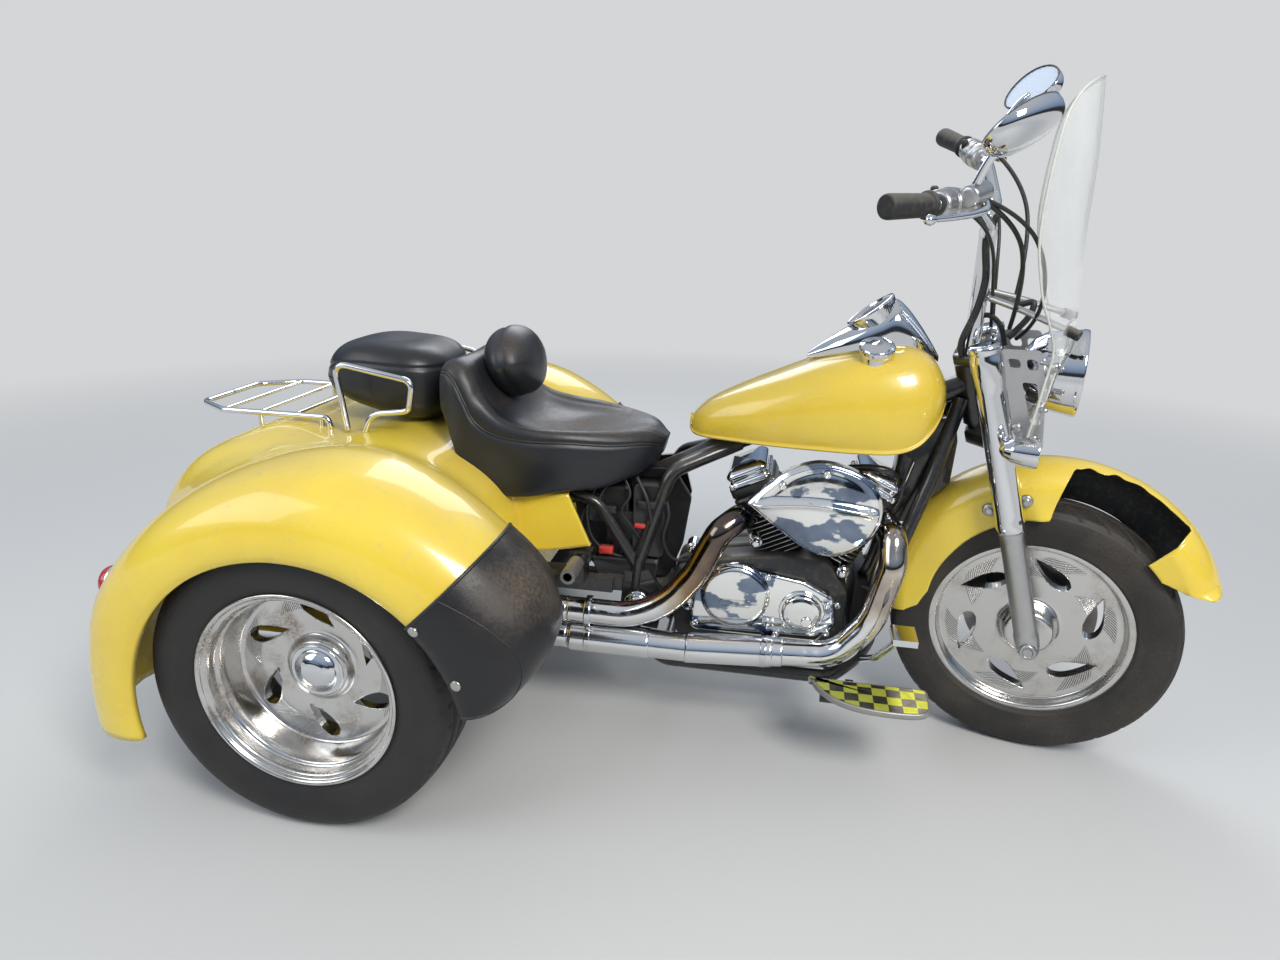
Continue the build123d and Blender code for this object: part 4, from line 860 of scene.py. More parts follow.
def drawn_in(outline, distance):
    """A closed outline moved inwards by a distance, along the normal of its neighbours' chord."""
    chord = np.roll(outline, -1, 0) - np.roll(outline, 1, 0)
    chord /= np.maximum(np.linalg.norm(chord, axis=1, keepdims=True), 1e-9)
    across = np.stack([-chord[:, 1], chord[:, 0]], -1)
    area = np.sum(outline[:, 0] * np.roll(outline[:, 1], -1) - np.roll(outline[:, 0], -1) * outline[:, 1])
    return outline + across * distance * np.sign(area)


def stacked(outline, levels, origin, first, second, up):
    """Rings of one outline at the levels (height, distance drawn in), closed over the ends:
    p = origin + a first + b second + h up."""
    rings = []
    for height, inside in levels:
        ring = drawn_in(outline, inside)
        rings.append(origin + ring[:, :1] * first + ring[:, 1:] * second + height * up)
    ends = [np.repeat(ring.mean(0)[None], len(ring), 0) for ring in (rings[0], rings[-1])]
    return np.array([ends[0], *rings, ends[1]])


ALONG, UPWARD = np.array([1.0, 0.0, 0.0]), np.array([0.0, 0.0, 1.0])
case_black = worn("case_black", (0.022, 0.022, 0.023), 0.1, 0.42, 0.1, dust=0.4, grain=0.3)
# Plate with a painted reflection: sharp-edged dark blue-grey patches in its colour stand for the trees and
# sky that it mirrors.
plate_with_painted_reflections, tree, links, bsdf = shader("plate_with_painted_reflections", (0.8, 0.8, 0.8), 1.0, 0.06)
painted_sky_patches = span(tree, links, speckle(tree, links, 9.0, 7.0, (1.0, 1.0, 1.7)), 0.0, 1.0, 0.545, 0.57)
shade = mixed(tree, links, speckle(tree, links, 22.0, 4.0), (0.08, 0.11, 0.17), (0.3, 0.36, 0.46))
links.new(mixed(tree, links, painted_sky_patches, (0.86, 0.86, 0.84), shade), bsdf.inputs["Base Color"])
links.new(span(tree, links, speckle(tree, links, 90.0, 5.0), 0.05, 0.2, 0.45, 0.75),
          bsdf.inputs["Roughness"])
case_outline = rounded([(665, 240), (720, 205), (1010, 205), (1060, 260), (1062, 380), (1010, 455),
                        (900, 462), (760, 440), (650, 380)], 22)
case_levels = [(-105, 6), (-102, 2), (-96, 0), (-38, 0), (-36, 3), (-30, 3), (-28, 0), (28, 0), (30, 3),
               (36, 3), (38, 0), (96, 0), (102, 2), (105, 6)]
case_grids = [swept(stacked(case_outline, case_levels, 0 * ALONG, ALONG, UPWARD,
                            np.array([0.0, 1.0, 0.0])))]
fin_grids, bright_edges, cover_steps, bolts = [], [], [], []
for sign in (1, -1):
    up = np.array([sign * np.sin(LEAN), 0.0, np.cos(LEAN)])
    cross_way = np.array([np.cos(LEAN), 0.0, -sign * np.sin(LEAN)])
    aside = np.array([0.0, 1.0, 0.0])

    def box(width, depth):
        """The four corners of a rectangle about the cylinder's axis."""
        return [(-width / 2, -depth / 2), (width / 2, -depth / 2), (width / 2, depth / 2),
                (-width / 2, depth / 2)]

    barrel = rounded(box(92, 120), 30)
    fin_grids.append(swept(stacked(barrel, [(110, 0), (HEAD_FROM, 0)], CRANK, cross_way, aside, up)))
    fin = rounded(box(118, 148), 30)
    for n in range(FIN_COUNT):
        low = FIN_FIRST + n * FIN_PITCH
        levels = [(low - 0.3, 14), (low + 0.8, 2), (low + 1.1, 0), (low + 3.1, 0), (low + 3.4, 2),
                  (low + 4.3, 14)]
        fin_grids.append(swept(stacked(fin, levels, CRANK, cross_way, aside, up)))
        edge = [(low + 1.0, 0.6), (low + 1.0, -0.35), (low + 3.2, -0.35), (low + 3.2, 0.6)]
        bright_edges.append(swept(stacked(fin, edge, CRANK, cross_way, aside, up)[1:-1]))
    head = rounded(box(112, 150), 20)
    levels = [(HEAD_FROM, 3), (HEAD_FROM + 4, 0), (HEAD_FROM + 12, 0), (HEAD_FROM + 14, 5), (HEAD_FROM + 20,
            5), (HEAD_FROM + 22, 0), (HEAD_FROM + 30, 0), (HEAD_FROM + 32, 5), (HEAD_FROM + 38, 5),
              (HEAD_FROM + 40, 0), (HEAD_FROM + HEAD_TALL - 2, 0), (HEAD_FROM + HEAD_TALL, 2)]
    fin_grids.append(swept(stacked(head, levels, CRANK, cross_way, aside, up)))
    top = rounded(box(104, 160), 20)
    base = HEAD_FROM + HEAD_TALL
    levels = [(base, 0), (base + 7, 0), (base + 8, 1), (base + 8.5, 4), (base + 22, 6), (base + 23, 2),
              (base + 30, 2), (base + 34, 4), (base + 38, 9), (base + 41, 12), (base + COVER_TALL, 20)]
    cover_steps.append(swept(stacked(top, levels, CRANK, cross_way, aside, up)))
    for a, b in ((-44, -72), (44, -72), (-44, 72), (44, 72), (-44, 0), (44, 0)):
        spot = CRANK + a * cross_way + b * aside + (base + 2) * up
        head_bolt = evenly([(0, 7), (9, 7), (10, 6), (10, 4), (7, 3.5), (7, 0)], 2.0)
        bolts.append(spun(turned_grid(head_bolt, spot, up, aside, 16)))
build("engine_case", case_grids, case_black, "chassis", "paint_black", "engine")
build("cylinder_fins", fin_grids, case_black, "chassis", "paint_black", "cylinders")
fin_bright = worn("fin_bright", (0.62, 0.6, 0.56), 1.0, 0.32, dust=0.25)
build("fin_edges", bright_edges, fin_bright, "chassis", "alloy_polished")
build("rocker_covers", cover_steps, chrome, "chassis", "chrome", "head_covers")

# Right engine cover: a plated plate with a bevelled edge. It carries the domed clutch cover, with a
# bare oblong badge, and a ribbed round timing cover with a small screwed cap.
OUT = np.array([0.0, -1.0, 0.0])
plate_outline = rounded([(700, 262), (712, 395), (800, 440), (960, 415), (1030, 380), (1038, 310),
                         (1000, 262)], 20)
plate_levels = [(105, 0), (124, 0), (129, 1.5), (132, 5), (133, 9)]
covers = [swept(stacked(plate_outline, plate_levels, 0 * ALONG, ALONG, UPWARD, OUT))]
tab = rounded([(668, 318), (706, 300), (706, 382), (690, 372)], 9)
covers.append(swept(stacked(tab, [(105, 0), (116, 0), (118, 2)], 0 * ALONG, ALONG, UPWARD, OUT)))
clutch = evenly([(130, 80), (138, 80), (140, 78), (140.5, 75), (143, 74), (146, 72), (149, 66), (151, 50),
                 (151.6, 25), (151.8, 0)], 4.0)
covers.append(spun(turned_grid(clutch, (806, 0, 366), OUT, (1, 0, 0), 96)))
timing = evenly([(130, 52), (136, 52), (138, 50), (138, 45), (141, 44), (146, 40), (149, 30), (150, 16),
                 (150, 0)], 3.0)
covers.append(spun(turned_grid(timing, (960, 0, 340), OUT, (1, 0, 0), 80)))
cap = evenly([(149, 13), (153, 13), (155, 11), (155.5, 0)], 2.0)
covers.append(spun(turned_grid(cap, (972, 0, 322), OUT, (1, 0, 0), 40)))
badge = rounded([(772, 344), (846, 344), (846, 362), (772, 362)], 8, 2.0)
covers.append(swept(stacked(badge, [(150, 0), (152.4, 0), (152.9, 1), (152.4, 2.2), (152.2, 3)], 0 * ALONG,
                            ALONG, UPWARD, OUT)))
build("engine_cover_right", covers, plate_with_painted_reflections, "chassis", "chrome", "right_cover")
for x, z in ((716, 285), (724, 404), (878, 418), (1016, 362), (1020, 292), (905, 275), (684, 340)):
    screw = evenly([(116 if x < 700 else 130, 8), (137, 8), (138, 7), (138, 4.5), (135, 4), (135, 0)], 2.0)
    bolts.append(spun(turned_grid(screw, (x, 0, z), OUT, (1, 0, 0), 20)))
for x, z, r in ((760, 472, 13), (700, 455, 10), (844, 486, 9), (1046, 430, 9), (1040, 350, 9)):
    screw = evenly([(60, r + 8), (96, r + 6), (98, r), (106, r), (108, r - 2), (108, 0)], 4.0)
    bolts.append(spun(turned_grid(screw, (x, 0, z), OUT, (1, 0, 0), 24)))
pivot = evenly([(128, 30), (136, 30), (138, 27), (138, 22), (146, 21), (150, 17), (152, 0)], 3.0)
for side in (-1, 1):
    bolts.append(spun(turned_grid(pivot, (576, 0, 320), (0, side, 0), (1, 0, 0), 40)))
build("engine_bolts", bolts, chrome, "chassis", "chrome")
left = []
for x, z, r, far in ((960, 340, 92, 153), (745, 340, 70, 141)):
    dome = evenly([(105, r), (far - 12, r), (far - 8, r - 2), (far - 6, r - 9), (far - 2, r - 16),
                   (far, r * 0.5), (far, 0)], 5.0)
    left.append(spun(turned_grid(dome, (x, 0, z), (0, 1, 0), (1, 0, 0), 80)))
build("engine_cover_left", left, chrome, "chassis", "chrome", "left_cover")

# Air cleaner: a plated teardrop shell. A ridge sweeps from its point across the face, and the part
# above the ridge is pressed in; a rolled rim and four screws hold it.
TEAR = [(822, 606), (862, 648), (905, 684), (970, 706), (1040, 694), (1088, 662), (1106, 612), (1094, 558),
        (1060, 520), (1010, 500), (950, 515), (886, 558), (822, 606)]


def tear_face(t, outline, centre):
    """The face over the share t of the way out: y = 176 + 14 (1 - t^4), less a hollow of 6 mm above the
    ridge line z = 603 + 16 sin(pi u), plus 5 exp(-(s/7)^2) along that line."""
    spot = centre + (outline[None] - centre) * t[:, None, None]
    u = np.clip((spot[..., 0] - 826.0) / 275.0, 0, 1)
    s = spot[..., 1] - (603.0 + 16.0 * np.sin(np.pi * u))
    fade = np.clip((1 - t[:, None]) / 0.16, 0, 1)
    y = 176.0 + 14.0 * (1 - t[:, None] ** 4) - fade * 6.5 * np.clip(s / 16.0, 0,
            1) + fade * 5.0 * np.exp(-(s / 7.0) ** 2)
    return np.stack([spot[..., 0], -y, spot[..., 1]], -1)


tear = curve_through(TEAR, 260)[:-1]
middle = np.array([985.0, 606.0])
rim_rings = [np.stack([ring[:, 0], np.full(len(ring), -depth), ring[:, 1]], -1) for depth,
             ring in [(132, drawn_in(tear, 4)), (134, tear), (160, tear), (162, drawn_in(tear, -2.5)),
                      (170, drawn_in(tear, -2.5)), (172, drawn_in(tear, 1)), (173, drawn_in(tear, 4))]]
face = tear_face(np.linspace(0.955, 0.0, 32), tear, middle)
cleaner = [swept(np.concatenate([np.array(rim_rings), face]))]
neck_tube = evenly([(60, 42), (132, 42), (134, 38)], 6.0)
cleaner.append(spun(turned_grid(neck_tube, (975, 0, 600), OUT, (1, 0, 0), 48)))
for x, z in ((893, 655), (985, 688), (1082, 610), (996, 518)):
    screw = evenly([(172, 8), (183, 8), (185, 6.5), (185, 4), (182, 3.5), (182, 0)], 2.0)
    cleaner.append(spun(turned_grid(screw, (x, 0, z), OUT, (1, 0, 0), 20)))
build("intake_cover", cleaner, plate_with_painted_reflections, "chassis", "chrome", "air_cleaner")

# Radiator: a black core with fine upright fins between two side tanks. Above it a boxed gusset fills
# the frame's neck, and three rubber hoses run up past it.
core, tree, links, bsdf = shader("radiator_core", (0.03, 0.03, 0.03), 0.5, 0.5)
slats = tree.new("ShaderNodeTexWave")
slats.bands_direction = "Y"
slats.inputs["Scale"].default_value = 160.0
place = tree.new("ShaderNodeTexCoord")
links.new(place.outputs["Object"], slats.inputs["Vector"])
links.new(mixed(tree, links, slats.outputs["Fac"], (0.01, 0.01, 0.01), (0.07, 0.065, 0.06)),
          bsdf.inputs["Base Color"])
dress(core, "radiator")
NECK = [(1148, 712), (1215, 775), (1256, 800), (1268, 740), (1264, 640), (1230, 606), (1166, 530),
        (1136, 585)]
gusset = stacked(rounded(NECK, 16), [(-32, 5), (-27, 0), (27, 0), (32, 5)], 0 * ALONG, ALONG, UPWARD, OUT)
hoses = [swept(gusset)]
for knots, r in (([(1092, -40, 400), (1104, -62, 440), (1120, -58, 500), (1136, -44, 560),
                   (1160, -30, 610)], 12), ([(1150, -34, 640), (1128, -60, 668), (1090, -66, 676),
                                             (1040, -52, 668)], 9), ([(1180, -34, 690), (1160, -64, 640),
        (1150, -60, 590), (1120, -40, 560)], 5)):
    hoses.append(swept(tube_grid(curve_through(knots, 40), r, 20)))
build("neck_gusset", hoses, black_enamel, "chassis", "paint_black")

# Exhaust: two plated headers that sweep down on the right and run back side by side. Heat has turned
# the rear header brown and blue, and a stepped heat shield is clipped along the lower pipe.
PIPE_Y, PIPE_R = -177.0, 30.0
FRONT_HEADER = [(1118, -60, 560), (1140, -150, 548), (1142, PIPE_Y, 490), (1112, PIPE_Y, 352),
                (1040, PIPE_Y, 262), (700, PIPE_Y, 240), (420, PIPE_Y, 240)]
REAR_HEADER = [(822, -60, 545), (800, -150, 560), (764, PIPE_Y, 535), (716, PIPE_Y, 430),
               (650, PIPE_Y, 340), (560, PIPE_Y, 308), (420, PIPE_Y, 308)]


def heated(name, start, end, strength):
    """Plated steel that heat has coloured: blue-black, then brown, then straw, by the way along the pipe."""
    finish, tree, links, bsdf = shader(name, (0.78, 0.78, 0.78), 1.0, 0.12)
    way = tree.new("ShaderNodeUVMap")
    parts = tree.new("ShaderNodeSeparateXYZ")
    links.new(way.outputs["UV"], parts.inputs["Vector"])
    wander = span(tree, links, speckle(tree, links, 9.0, 4.0), -0.1, 0.1)
    along_pipe = sums(tree, links, "ADD", parts.outputs["X"], wander)
    ramp = tree.new("ShaderNodeValToRGB")
    ramp.color_ramp.elements[0].position, ramp.color_ramp.elements[0].color = start, (0.05, 0.055, 0.075, 1)
    ramp.color_ramp.elements[1].position, ramp.color_ramp.elements[1].color = end, (0.8, 0.8, 0.8, 1)
    for share, tint in ((0.3, (0.16, 0.12, 0.1)), (0.55, (0.34, 0.24, 0.15)), (0.8, (0.6, 0.53, 0.42))):
        stop = ramp.color_ramp.elements.new(start + share * (end - start))
        stop.color = (*tint, 1)
    links.new(along_pipe, ramp.inputs["Fac"])
    links.new(mixed(tree, links, strength, (0.8, 0.8, 0.8), ramp.outputs["Color"]),
              bsdf.inputs["Base Color"])
    film = span(tree, links, speckle(tree, links, 60.0, 6.0), 0.06, 0.3, 0.45, 0.75)
    links.new(film, bsdf.inputs["Roughness"])
    return finish


front_run, rear_run = bent(FRONT_HEADER, [36, 44, 150, 90, 200]), bent(REAR_HEADER, [36, 44, 150, 190, 150])
front_pipe, rear_pipe = tube_grid(front_run, PIPE_R, 48), tube_grid(rear_run, PIPE_R, 48)
build("header_front", [swept(front_pipe)], heated("front_heat", 0.0, 0.3, 0.7), "chassis", "chrome",
      "exhaust_pipes", merge=1e-4)
build("header_rear", [swept(rear_pipe)], heated("rear_heat", 0.12, 0.62, 1.0), "chassis", "chrome",
      merge=1e-4)
silencers = []
for knots, y in (([(420, PIPE_Y, 308), (360, PIPE_Y, 308), (250, -190, 225), (120, -190, 218)], -190),
                 ([(420, PIPE_Y, 240), (360, PIPE_Y, 240), (250, -262, 222), (120, -262, 218)], -262)):
    silencers.append(swept(tube_grid(bent(knots, [60, 80]), 31, 40)))
    body = evenly([(0, 26), (6, 35), (530, 34), (538, 30), (540, 26), (500, 24), (500, 0)], 18.0)
    silencers.append(spun(turned_grid(body, (120, y, 218), (-1, 0, 0), (0, 0, 1), 48)))
build("silencers", silencers, chrome, "chassis", "chrome", "mufflers", merge=1e-4)
shield_sheets = []
clamps = []
for first, last, grow in ((925, 500, 3.2), (905, 700, 5.4), (620, 425, 5.4)):
    run = front_run[(front_run[:, 0] < first) & (front_run[:, 0] > last) & (front_run[:, 2] < 300)]
    a = np.radians(np.linspace(-62, 128, 40))[None, :, None]
    tube_r = PIPE_R + grow
    sheet = run[:, None] + tube_r * (np.cos(a) * OUT + np.sin(a) * UPWARD)
    edge = run[:, None] + (PIPE_R + 0.4) * (np.cos(a) * OUT + np.sin(a) * UPWARD)
    shield_sheets.append(open_sheet(np.concatenate([edge[:1], sheet, edge[-1:]])))
for centre in ((880, 251.6), (470, 240.0), (470, 308.0)):
    band = evenly([(-7, 29), (-7, 36.5), (7, 36.5), (7, 29)], 3.0)
    clamps.append(spun(turned_grid(band, (centre[0], PIPE_Y, centre[1]), (1, 0, 0), (0, 0, 1), 48)))
guard = worn("heat_shield", (0.82, 0.83, 0.84), 1.0, 0.16, drift=0.05, dust=0.12)
build("heat_shields", shield_sheets, guard, "chassis", "chrome")
build("pipe_clamps", clamps, chrome, "chassis", "chrome")

# Under the seat: the electrics box, its loom and the vacuum lines, which show since the right side
# cover is missing. They sit in trays, and behind them a black sheet fills the frame: painted shade, a
# dark sheet where the frame's inside lies in shadow. The left side cover is still in place: yellow
# outside, bare black inside.
plastic, tree, links, bsdf = shader("plastic_black", (0.018, 0.018, 0.019), 0.0, 0.5)
links.new(span(tree, links, speckle(tree, links, 40.0), 0.38, 0.62), bsdf.inputs["Roughness"])
dress(plastic, "electrics_box")
both_sides, tree, links, bsdf = shader("side_cover_paint", YELLOW, 0.0, 0.3, 0.5)
way = tree.new("ShaderNodeTexCoord")
parts = tree.new("ShaderNodeSeparateXYZ")
links.new(way.outputs["Normal"], parts.inputs["Vector"])
links.new(mixed(tree, links, span(tree, links, parts.outputs["Y"], 0.0, 1.0, -0.1, 0.1), (0.012, 0.012,
        0.013), mixed(tree, links, speckle(tree, links, 5.0, 6.0), YELLOW, (0.55, 0.4, 0.06))),
          bsdf.inputs["Base Color"])
dress(both_sides, "left_side_cover")
# The first outline is the black sheet behind the electrics: painted shade for the shadow inside the frame.
SHADE_SHEET = [(398, 545), (470, 628), (640, 628), (684, 560), (668, 440), (636, 352), (470, 340), (420, 400)]
trays = [(SHADE_SHEET, -34, -26, 24), ([(556, 428), (628, 428), (628, 604), (556, 604)], -100, -30, 9),
         ([(446, 500), (540, 500), (540, 590), (446, 590)], -88, -30, 8),
         ([(476, 372), (612, 372), (620, 418), (460, 418)], -112, -30, 8)]
trays_and_shade_sheet = [swept(stacked(rounded(corners, r), [(-near, 4), (-near - 4, 0), (-far + 3, 0), (-far, 3)],
                             0 * ALONG, ALONG, UPWARD, OUT)) for corners, far, near, r in trays]
build("under_seat_trays_and_shade", trays_and_shade_sheet, plastic, "chassis", "plastic_black")
red_plastic = worn("red_plastic", (0.55, 0.03, 0.02), 0.0, 0.4, drift=0.1, dust=0.2)
LOOM = [[(470, -96, 600), (448, -112, 540), (462, -118, 470), (510, -110, 430), (560, -96, 420)],
        [(500, -94, 610), (476, -108, 560), (500, -116, 500), (530, -104, 450), (520, -96, 410)],
        [(560, -90, 620), (590, -110, 570), (600, -112, 500), (576, -104, 440), (600, -96, 400)],
        [(530, -92, 620), (548, -106, 580), (530, -112, 540), (556, -108, 500), (580, -100, 460)],
        [(620, -88, 600), (640, -104, 540), (630, -108, 480), (650, -100, 430), (690, -92, 420)],
        [(450, -90, 560), (430, -104, 500), (440, -110, 440), (480, -104, 408), (540, -96, 396)]]
loom = [swept(tube_grid(curve_through(knots, 60), 3.4 + 0.7 * (n % 3), 10)) for n, knots in enumerate(LOOM)]
build("wiring_loom", loom, plastic, "chassis", "plastic_black")
plugs = []
for x, y, z, long, deep in ((566, -104, 548, 46, 20), (486, -104, 530, 30, 20), (478, -114, 432, 34, 18),
                            (560, -104, 500, 30, 10)):
    shape = rounded([(x, z), (x + long, z), (x + long, z + deep), (x, z + deep)], 3, 2.0)
    plugs.append(swept(stacked(shape, [(-y - 12, 0), (-y + 6, 0), (-y + 8, 2)], 0 * ALONG, ALONG, UPWARD,
                               OUT)))
build("loom_plugs", plugs[:2], plastic, "chassis", "plastic_black")
build("relay_caps", plugs[2:], red_plastic, "chassis", "plastic_black")

# Fuel tank: two deep-drawn steel halves welded along a flat lip at the bottom edge, in yellow enamel.
# Stations give x, half width, and the heights of the lip and of the crest.
TANK = [(670, 14, 734, 748), (684, 42, 726, 770), (716, 68, 725, 798), (780, 95, 727, 832), (860, 118, 728,
        868), (960, 136, 730, 910), (1050, 143, 731, 936), (1120, 142, 735, 945), (1165, 132, 750, 940),
        (1195, 112, 776, 920), (1215, 84, 805, 893), (1227, 46, 832, 866), (1231, 12, 845, 854)]


def tank_surface(stations, rows, around):
    """Rounded sections along x: y = w sgn(cos a)|cos a|^0.62, and above the waist z follows
    sin a to the power 0.86, with the waist at three tenths of the height."""
    x, half, low, high = curve_through(stations, rows).T[:, :, None]
    a = np.linspace(-0.5, np.pi + 0.5, around)[None, :]
    side = half * np.sign(np.cos(a)) * np.abs(np.cos(a)) ** 0.62
    waist = low + 0.32 * (high - low)
    rise = np.sign(np.sin(a)) * np.abs(np.sin(a)) ** 0.92
    z = np.where(rise > 0, waist + (high - waist) * rise, waist + (waist - low) * rise
                 / np.abs(np.sin(0.5)) ** 0.92)
    return np.stack([x + 0 * a, -side * np.ones_like(x), z], -1)


tank = tank_surface(TANK, 84, 72)
lip_out = tank[:, [0, -1]]
lip = lip_out + np.stack([0 * lip_out[..., 0], np.sign(lip_out[..., 1]) * 7.0, 0 * lip_out[..., 0]], -1)
drop = lip + [0, 0, -5.0]
belly = np.stack([drop[:, 0] * [1, 0.35, 1] + [0, 0, 30.0], drop[:, 1] * [1, 0.35, 1] + [0, 0, 30.0]], 1)
tank_skin = np.concatenate([belly[:, :1], drop[:, :1], lip[:, :1], tank, lip[:, 1:], drop[:, 1:],
                            belly[:, 1:]], 1)
# The tank's yellow is darker than the body's: painted shade, for the shade that lies over the tank.
fuel_tank = outward(grid_mesh("tank_shell", [open_sheet(tank_skin)], enamel("tank_enamel_painted_shade",
        (0.66, 0.485, 0.05))))
tank_wall = fuel_tank.modifiers.new("wall", "SOLIDIFY")
tank_wall.thickness, tank_wall.offset = 0.0015, -1.0
settle(fuel_tank, "chassis", "paint_yellow", "fuel_tank")

# Tank console: a plated die-cast pod on the tank's crest, with a round dial under glass that faces the
# rider, and a slim tail that runs back to a point.
# Stations: x, half width, foot height, crest height
POD = [(926, 5, 908, 916), (950, 18, 912, 936), (985, 36, 922, 962), (1030, 50, 932, 992), (1075, 56, 940,
        1024), (1102, 55, 944, 1042), (1128, 50, 944, 1026), (1160, 38, 940, 990), (1190, 24, 926, 950),
       (1206, 10, 916, 926)]
x, half, low, high = curve_through(POD, 70).T[:, :, None]
a = np.linspace(0, np.pi, 49)[None, :]
pod = np.stack([x + 0 * a, half * np.cos(a) * (1 + 0.1 * np.sin(2 * a) ** 2),
                low - 4 + (high - low + 4) * np.sin(a) ** 0.75], -1)
build("tank_pod", [swept(pod)], chrome, "chassis", "chrome", "tank_console", merge=1e-4)
DIAL = np.array([1055.0, 0.0, 1012.0])
DIAL_AXIS = np.array([-0.61, 0.0, 0.79])
bezel_profile = [(-34, 46), (-4, 56), (4, 58), (8, 57), (9, 53), (4, 50)]
bezel = turned_grid(evenly(bezel_profile, 2.0), DIAL, DIAL_AXIS, (0, 1, 0), 72)
build("dial_bezel", [spun(bezel)], chrome, "chassis", "chrome")
face_finish, tree, links, bsdf = shader("dial_face", (0.03, 0.03, 0.032), 0.0, 0.3, 0.6)
place = tree.new("ShaderNodeTexCoord")
parts = tree.new("ShaderNodeSeparateXYZ")
links.new(place.outputs["UV"], parts.inputs["Vector"])
tick = sums(tree, links, "ABSOLUTE", sums(tree, links, "SUBTRACT", sums(
    tree, links, "FRACT", sums(tree, links, "MULTIPLY", parts.outputs["X"], 36.0)), 0.5))
ring_zone = sums(tree, links, "MULTIPLY", span(tree, links, parts.outputs["Y"], 0.0, 1.0, 0.16, 0.17),
                 span(tree, links, parts.outputs["Y"], 1.0, 0.0, 0.3, 0.31))
marks = sums(tree, links, "MULTIPLY", ring_zone, span(tree, links, tick, 1.0, 0.0, 0.08, 0.12))
links.new(mixed(tree, links, marks, (0.03, 0.03, 0.032), (0.75, 0.76, 0.72)), bsdf.inputs["Base Color"])
dial = turned_grid([(4, 51), (4, 41), (4, 30), (4, 16), (4, 0)], DIAL, DIAL_AXIS, (0, 1, 0), 72)
settle(grid_mesh("dial_face", [spun(dial)], face_finish), "chassis", "plastic_black")

# Filler cap: a plated twist cap with a fluted rim, on the right of the tank's crest.
# It sits in a shallow collar that is plated too.
CAP = np.array([1067.0, -80.0, 934.0])
CAP_AXIS = np.array([0.0, -0.36, 0.93])
cap_profile = evenly([(-22, 34), (3, 34), (5, 37.5), (16, 38), (20, 35.5), (24, 28), (26, 14), (26.5, 0)],
                     3.0)
cap = turned_grid(cap_profile, CAP, CAP_AXIS, (1, 0, 0), 144)
flutes = np.cos(np.linspace(0, 2 * np.pi, 144, endpoint=False) * 18)[:, None] * \
    np.exp(-((cap_profile[:, 0] - 11) / 5.0) ** 2)[None, :]
centre_line = CAP + cap_profile[None, :, :1] * CAP_AXIS / np.linalg.norm(CAP_AXIS)
cap = centre_line + (cap - centre_line) * (1 + 0.02 * flutes[..., None])
build("fuel_cap", [spun(cap)], chrome, "chassis", "chrome", "filler_cap")

# Floorboards: steel plates with a rolled rim and a printed checkerboard mat, scuffed pale at the front
# outer corner. Each has a pin along its inner edge, about which the real boards fold up, and a body of its
# own.
MAT = [(1225, 226), (1236, 230), (1240, 242), (1239, 290), (1231, 318), (1205, 332), (1150, 336),
       (1090, 330), (1040, 308), (1008, 274), (994, 246), (994, 232), (1004, 226), (1225, 226)]


def checker_finish():
    """A checkerboard of 30 mm squares on the piece's own x and y, in yellow and black. A worn patch
    near the outer front corner turns the black squares grey and the yellow ones pale."""
    finish, tree, links, bsdf = shader("checker_mat", (0.4, 0.4, 0.05), 0.0, 0.55)
    place = tree.new("ShaderNodeTexCoord")
    flat = tree.new("ShaderNodeMapping")
    flat.inputs["Scale"].default_value = (1.0, 1.0, 0.0)
    flat.inputs["Location"].default_value = (0.004, 0.006, 0.0005)
    squares = tree.new("ShaderNodeTexChecker")
    squares.inputs["Scale"].default_value = 1000.0 / 30.0
    links.new(place.outputs["Object"], flat.inputs["Vector"])
    links.new(flat.outputs["Vector"], squares.inputs["Vector"])
    parts = tree.new("ShaderNodeSeparateXYZ")
    links.new(place.outputs["Object"], parts.inputs["Vector"])
    forward = span(tree, links, parts.outputs["X"], 0.0, 1.0, 0.505, 0.535)
    scuffs = span(tree, links, speckle(tree, links, 26.0, 8.0), 0.0, 1.0, 0.4, 0.55)
    worn_patch = sums(tree, links, "MULTIPLY", forward, sums(tree, links, "MAXIMUM", scuffs, 0.75))
    dull = mixed(tree, links, squares.outputs["Fac"], (0.012, 0.012, 0.01), (0.31, 0.33, 0.035))
    pale = mixed(tree, links, squares.outputs["Fac"], (0.3, 0.27, 0.22), (0.85, 0.84, 0.09))
    grime = span(tree, links, speckle(tree, links, 60.0, 8.0), 0.0, 0.35, 0.5, 0.8)
    tone = mixed(tree, links, worn_patch, dull, pale)
    links.new(mixed(tree, links, grime, tone, (0.14, 0.12, 0.09)), bsdf.inputs["Base Color"])
    links.new(span(tree, links, grime, 0.42, 0.75, 0.0, 0.35), bsdf.inputs["Roughness"])
    return finish


mat_print = checker_finish()
board_rim = worn("board_rim", (0.42, 0.42, 0.4), 0.8, 0.4, drift=0.2, dust=0.3)
for name, hand in (("right", -1), ("left", 1)):
    outline = curve_through([(x, hand * y) for x, y in MAT], 160)[:-1]
    level = 0 * ALONG
    plate = stacked(outline, [(214, 6), (215, 2), (219, 0), (226, 0), (228.4, 1.5), (229, 4), (227.5, 6)],
                    level, ALONG, np.array([0.0, 1.0, 0.0]), UPWARD)
    hinge = turned_grid(evenly([(-69, 0), (-69, 8), (69, 8), (69, 0)], 12.0), (1107.5, hand * 214, 196),
                        (1, 0, 0), (0, 0, 1), 24)
    parts = [swept(plate), spun(hinge)]
    for x in (1060, 1155):
        arm = bent([(x, hand * 246, 216), (x, hand * 214, 196)], [])
        parts.append(swept(tube_grid(arm, 7, 14)))
    build("board_" + name, parts, board_rim, "floorboard_" + name, "steel", "floorboard_" + name,
          merge=1e-4)
    mat = stacked(outline, [(227, 6.5), (229.2, 6.5), (229.4, 7.5)], level, ALONG,
                  np.array([0.0, 1.0, 0.0]), UPWARD)
    build("mat_" + name, [swept(mat)], mat_print, "floorboard_" + name, "rubber")

